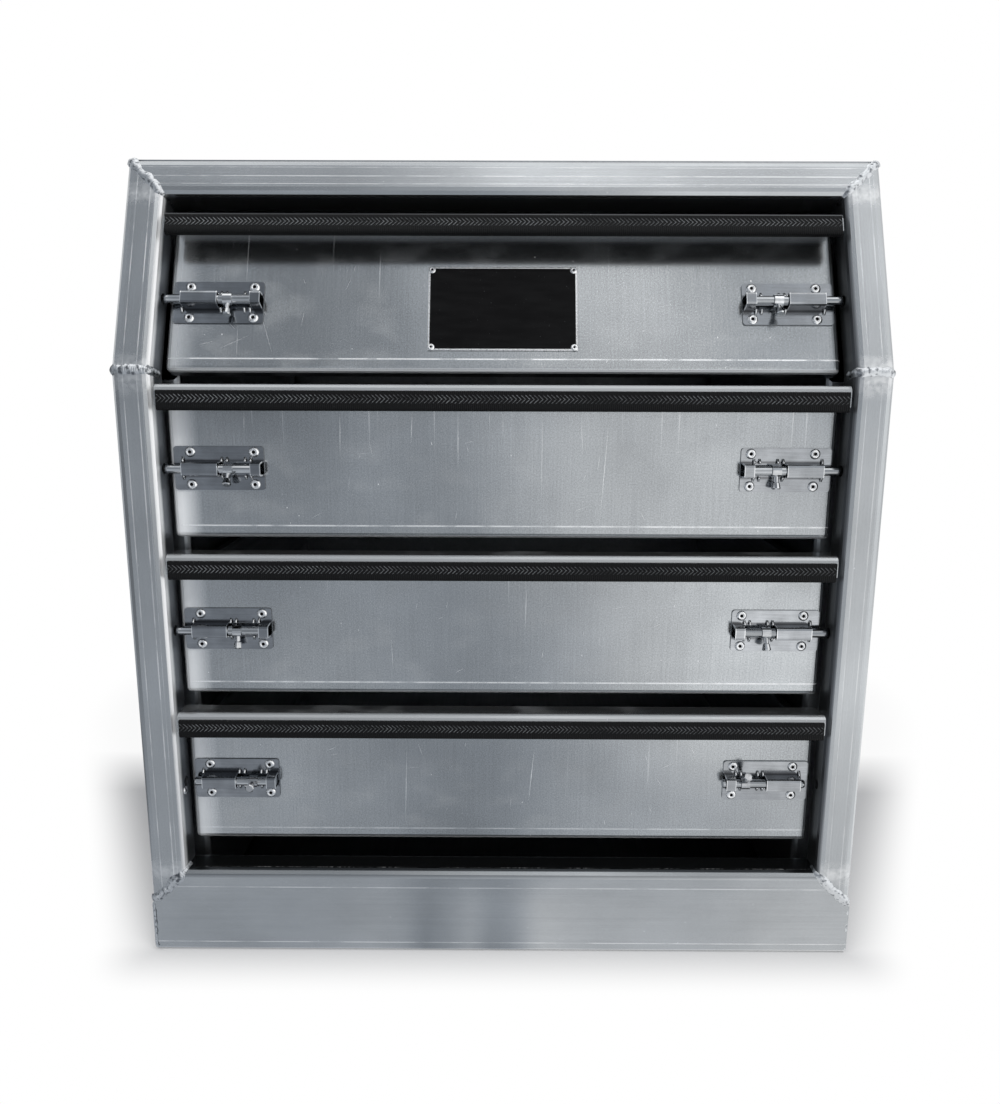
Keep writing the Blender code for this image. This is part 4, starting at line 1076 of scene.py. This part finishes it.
def add_scratch(bm, place, start, end, width):
    """A hair-thin bright cut in a drawer's face, from start to end in the face's own frame."""
    a, b = Vector((start[0], 0.0, start[1])), Vector((end[0], 0.0, end[1]))
    aside = (b - a).cross(Vector((0.0, 1.0, 0.0))).normalized() * (width / 2)
    proud = Vector((0.0, -SCRATCH_PROUD, 0.0))
    middle = a.lerp(b, 0.5)
    corners = [a, middle - aside, b, middle + aside]
    bm.faces.new([bm.verts.new(place @ (corner + proud)) for corner in corners])


def scratches(material):
    """The longer cuts on each drawer front, and seeded hairline marks clear of its bolts and plate."""
    chosen = random.Random(41)
    for index, drawer in enumerate(DRAWERS):
        bm = bmesh.new()
        place = front_frame(index)
        for start, end, width in LONG_SCRATCHES[index]:
            add_scratch(bm, place, start, end, width)
        for _ in range(HAIRLINES):
            x = chosen.uniform(-HAIRLINE_REACH, HAIRLINE_REACH)
            z = chosen.uniform(*HAIRLINE_RISE)
            if index == 0 and abs(x) < HAIRLINES_BESIDE_PLATE:
                continue
            turn = chosen.gauss(math.pi / 2, 0.30) if chosen.random() < 0.7 else chosen.uniform(0.0, 0.5)
            length = chosen.uniform(*HAIRLINE_LENGTH)
            end = (x + math.cos(turn) * length, z + math.sin(turn) * length)
            add_scratch(bm, place, (x, z), end, chosen.uniform(*HAIRLINE_WIDTH))
        mesh_piece(f"{drawer}_scratches", bm, [material], drawer)


# Studio


def ray(tree, kind):
    """1 for rays of this kind, and 0 for others."""
    return node(tree, "LightPath", (), f"Is {kind} Ray")


def by_ray(tree, camera, glossy, other):
    """One value for rays from the camera or through glass, one for reflections, and one for the rest."""
    seen = strongest(ray(tree, "Camera"), ray(tree, "Transmission"))
    return blend_of(seen, blend_of(ray(tree, "Glossy"), other, glossy), camera)


def azimuth_of(sideways, ahead):
    return math_node("ARCTAN2", sideways, ahead) * (180.0 / math.pi)


def room_tone(azimuth, tones):
    """How bright the room is at an azimuth."""
    curve = azimuth.tree.nodes.new("ShaderNodeFloatCurve")
    feed(curve.inputs["Value"], map_range(azimuth, -ROOM_REACH, ROOM_REACH))
    tones = ROOM_LEFT + tones + ROOM_RIGHT
    places = [(0.5 + degrees / ROOM_REACH / 2, tone / ROOM_PEAK) for degrees, tone in tones]
    points = curve.mapping.curves[0].points
    points[0].location = places[0]
    points[1].location = places[-1]
    for place in places[1:-1]:
        points.new(*place)
    for point in points:
        point.handle_type = "VECTOR"
    curve.mapping.update()
    return Value(curve.outputs[0]) * ROOM_PEAK


def room_light(kind, tone, other):
    """A glowing node that is white to the eye. Metal sees the room's tone, and bluish where that is dark."""
    dark = 1.0 - map_range(tone, *ROOM_TINT_TONES)
    colour = colour_between(1.0 - ray(tone.tree, "Glossy") * dark, ROOM_TINT, (1.0, 1.0, 1.0))
    return node(tone.tree, kind, (("Color", colour), ("Strength", by_ray(tone.tree, 1.0, tone, other))))


def studio_world():
    """White to the eye. Metal sees a room that is darker on the left, with a brighter ceiling in front."""
    world = bpy.data.worlds.new("studio")
    bpy.context.scene.world = world
    world.use_nodes = True
    tree = world.node_tree
    tree.nodes.clear()
    right, back, up = split(node(tree, "TexCoord", (), "Generated"))
    azimuth = azimuth_of(right, back * -1.0)
    room = blend_of(map_range(back, *ROOM_BACK), room_tone(azimuth, CEILING), 1.0)
    gain = map_range(azimuth, *CEILING_GAINS)
    room = room * blend_of(map_range(up, *CEILING_UPPER), 1.0, gain)
    output = tree.nodes.new("ShaderNodeOutputWorld")
    feed(output.inputs["Surface"], room_light("Background", room, WORLD_LIGHT))


def floor_shade(right, back):
    """How much of the cabinet's shadow lies on the floor, clearing away from its sides and behind it."""
    beside = strongest(abs(right) - HALF_WIDTH, 0.0)
    beyond = strongest(abs(back) - BACK_Y, 0.0)
    away = math_node("SQRT", beside * beside + beyond * beyond)
    begins = strongest(back, SHADE_FRONT) * SHADE_SLOPE + SHADE_START
    inputs = (("Value", (away - begins) / SHADE_WIDTH),)
    clear = node(back.tree, "MapRange", inputs, interpolation_type="SMOOTHSTEP")
    return (1.0 - clear) * (1.0 - map_range(back, *SHADE_BACK))


def studio_floor():
    """A pale floor that keeps the object's shadow near it and is white further off. Metal sees the room's
    tones laid on it."""
    bm = bmesh.new()
    bmesh.ops.create_grid(bm, x_segments=1, y_segments=1, size=FLOOR_REACH)
    mesh = bpy.data.meshes.new("studio_floor")
    bm.to_mesh(mesh)
    bm.free()
    floor = bpy.data.objects.new("studio_floor", mesh)
    floor.location.z = -FLOOR_DROP
    bpy.context.scene.collection.objects.link(floor)
    material, shader, place = new_material("studio_floor")
    surface(shader, SHADE_TONE, 0.9, 0.0, 0.1)
    right, back, _ = split(place)
    azimuth = azimuth_of(right, MIRROR_Y - back)
    tone = room_tone(azimuth, FLOOR_FAR)
    for begins, reached, tones in FLOOR_BANDS:
        tone = blend_of(map_range(back, begins, reached), tone, room_tone(azimuth, tones))
    lit = by_ray(place.tree, 1.0 - floor_shade(right, back), 1.0, 0.0)
    glow = room_light("Emission", tone, FLOOR_LIGHT)
    mixed = node(place.tree, "MixShader", enumerate((lit, Value(shader.outputs["BSDF"]), glow)))
    output = next(item for item in place.tree.nodes if item.type == "OUTPUT_MATERIAL")
    feed(output.inputs["Surface"], mixed)
    mesh.materials.append(material)


def lamp(name, place, size, power):
    light = bpy.data.lights.new(name, "AREA")
    light.shape = "DISK"
    light.size = size
    light.energy = power
    light.color = LAMP_COLOUR
    obj = bpy.data.objects.new(name, light)
    obj.location = place
    obj.rotation_mode = "QUATERNION"
    obj.rotation_quaternion = (Vector(LAMP_TARGET) - Vector(place)).to_track_quat("-Z", "Y")
    obj.visible_glossy = False
    bpy.context.scene.collection.objects.link(obj)


def camera():
    data = bpy.data.cameras.new("camera")
    data.sensor_fit = "AUTO"
    data.sensor_width = SENSOR
    data.lens = FOCAL_PIXELS / PHOTO_HEIGHT * SENSOR
    obj = bpy.data.objects.new("camera", data)
    bpy.context.scene.collection.objects.link(obj)
    ahead, drop = math.cos(CAMERA_PITCH), math.sin(CAMERA_PITCH)
    sin_yaw, cos_yaw = math.sin(CAMERA_YAW), math.cos(CAMERA_YAW)
    forward = Vector((sin_yaw * ahead, cos_yaw * ahead, -drop))
    right = Vector((cos_yaw, -sin_yaw, 0.0))
    up = right.cross(forward)
    rolled_right = right * math.cos(CAMERA_ROLL) + up * math.sin(CAMERA_ROLL)
    rolled_up = up * math.cos(CAMERA_ROLL) - right * math.sin(CAMERA_ROLL)
    obj.matrix_world = axes(rolled_right, rolled_up, -forward, CAMERA_PLACE)
    bpy.context.scene.camera = obj


# The whole scene

dress_nodes()
rivet_metal = plain_metal("rivet_metal", (0.90, 0.91, 0.92), 0.18)
foot_steel = plain_metal("foot_steel", (0.72, 0.73, 0.74), 0.14)
edge_metal = plain_metal("edge_metal", (0.62, 0.63, 0.64), 0.14)
scratch_metal = plain_metal("scratch_metal", (0.95, 0.96, 0.97), 0.35)
hole_shade = hole_painted_shade()
fasteners(rivet_metal, hole_shade, foot_steel, edge_metal)
stile_screw(foot_steel, hole_shade)
plate_rim(plain_metal("rim_metal", (0.80, 0.81, 0.82), 0.25))
welds(weld_metal())
scratches(scratch_metal)
studio_world()
studio_floor()
for lamp_name, lamp_place, lamp_size, lamp_power in LAMPS:
    lamp(lamp_name, lamp_place, lamp_size, lamp_power)
camera()
bpy.context.scene.view_settings.view_transform = "Standard"
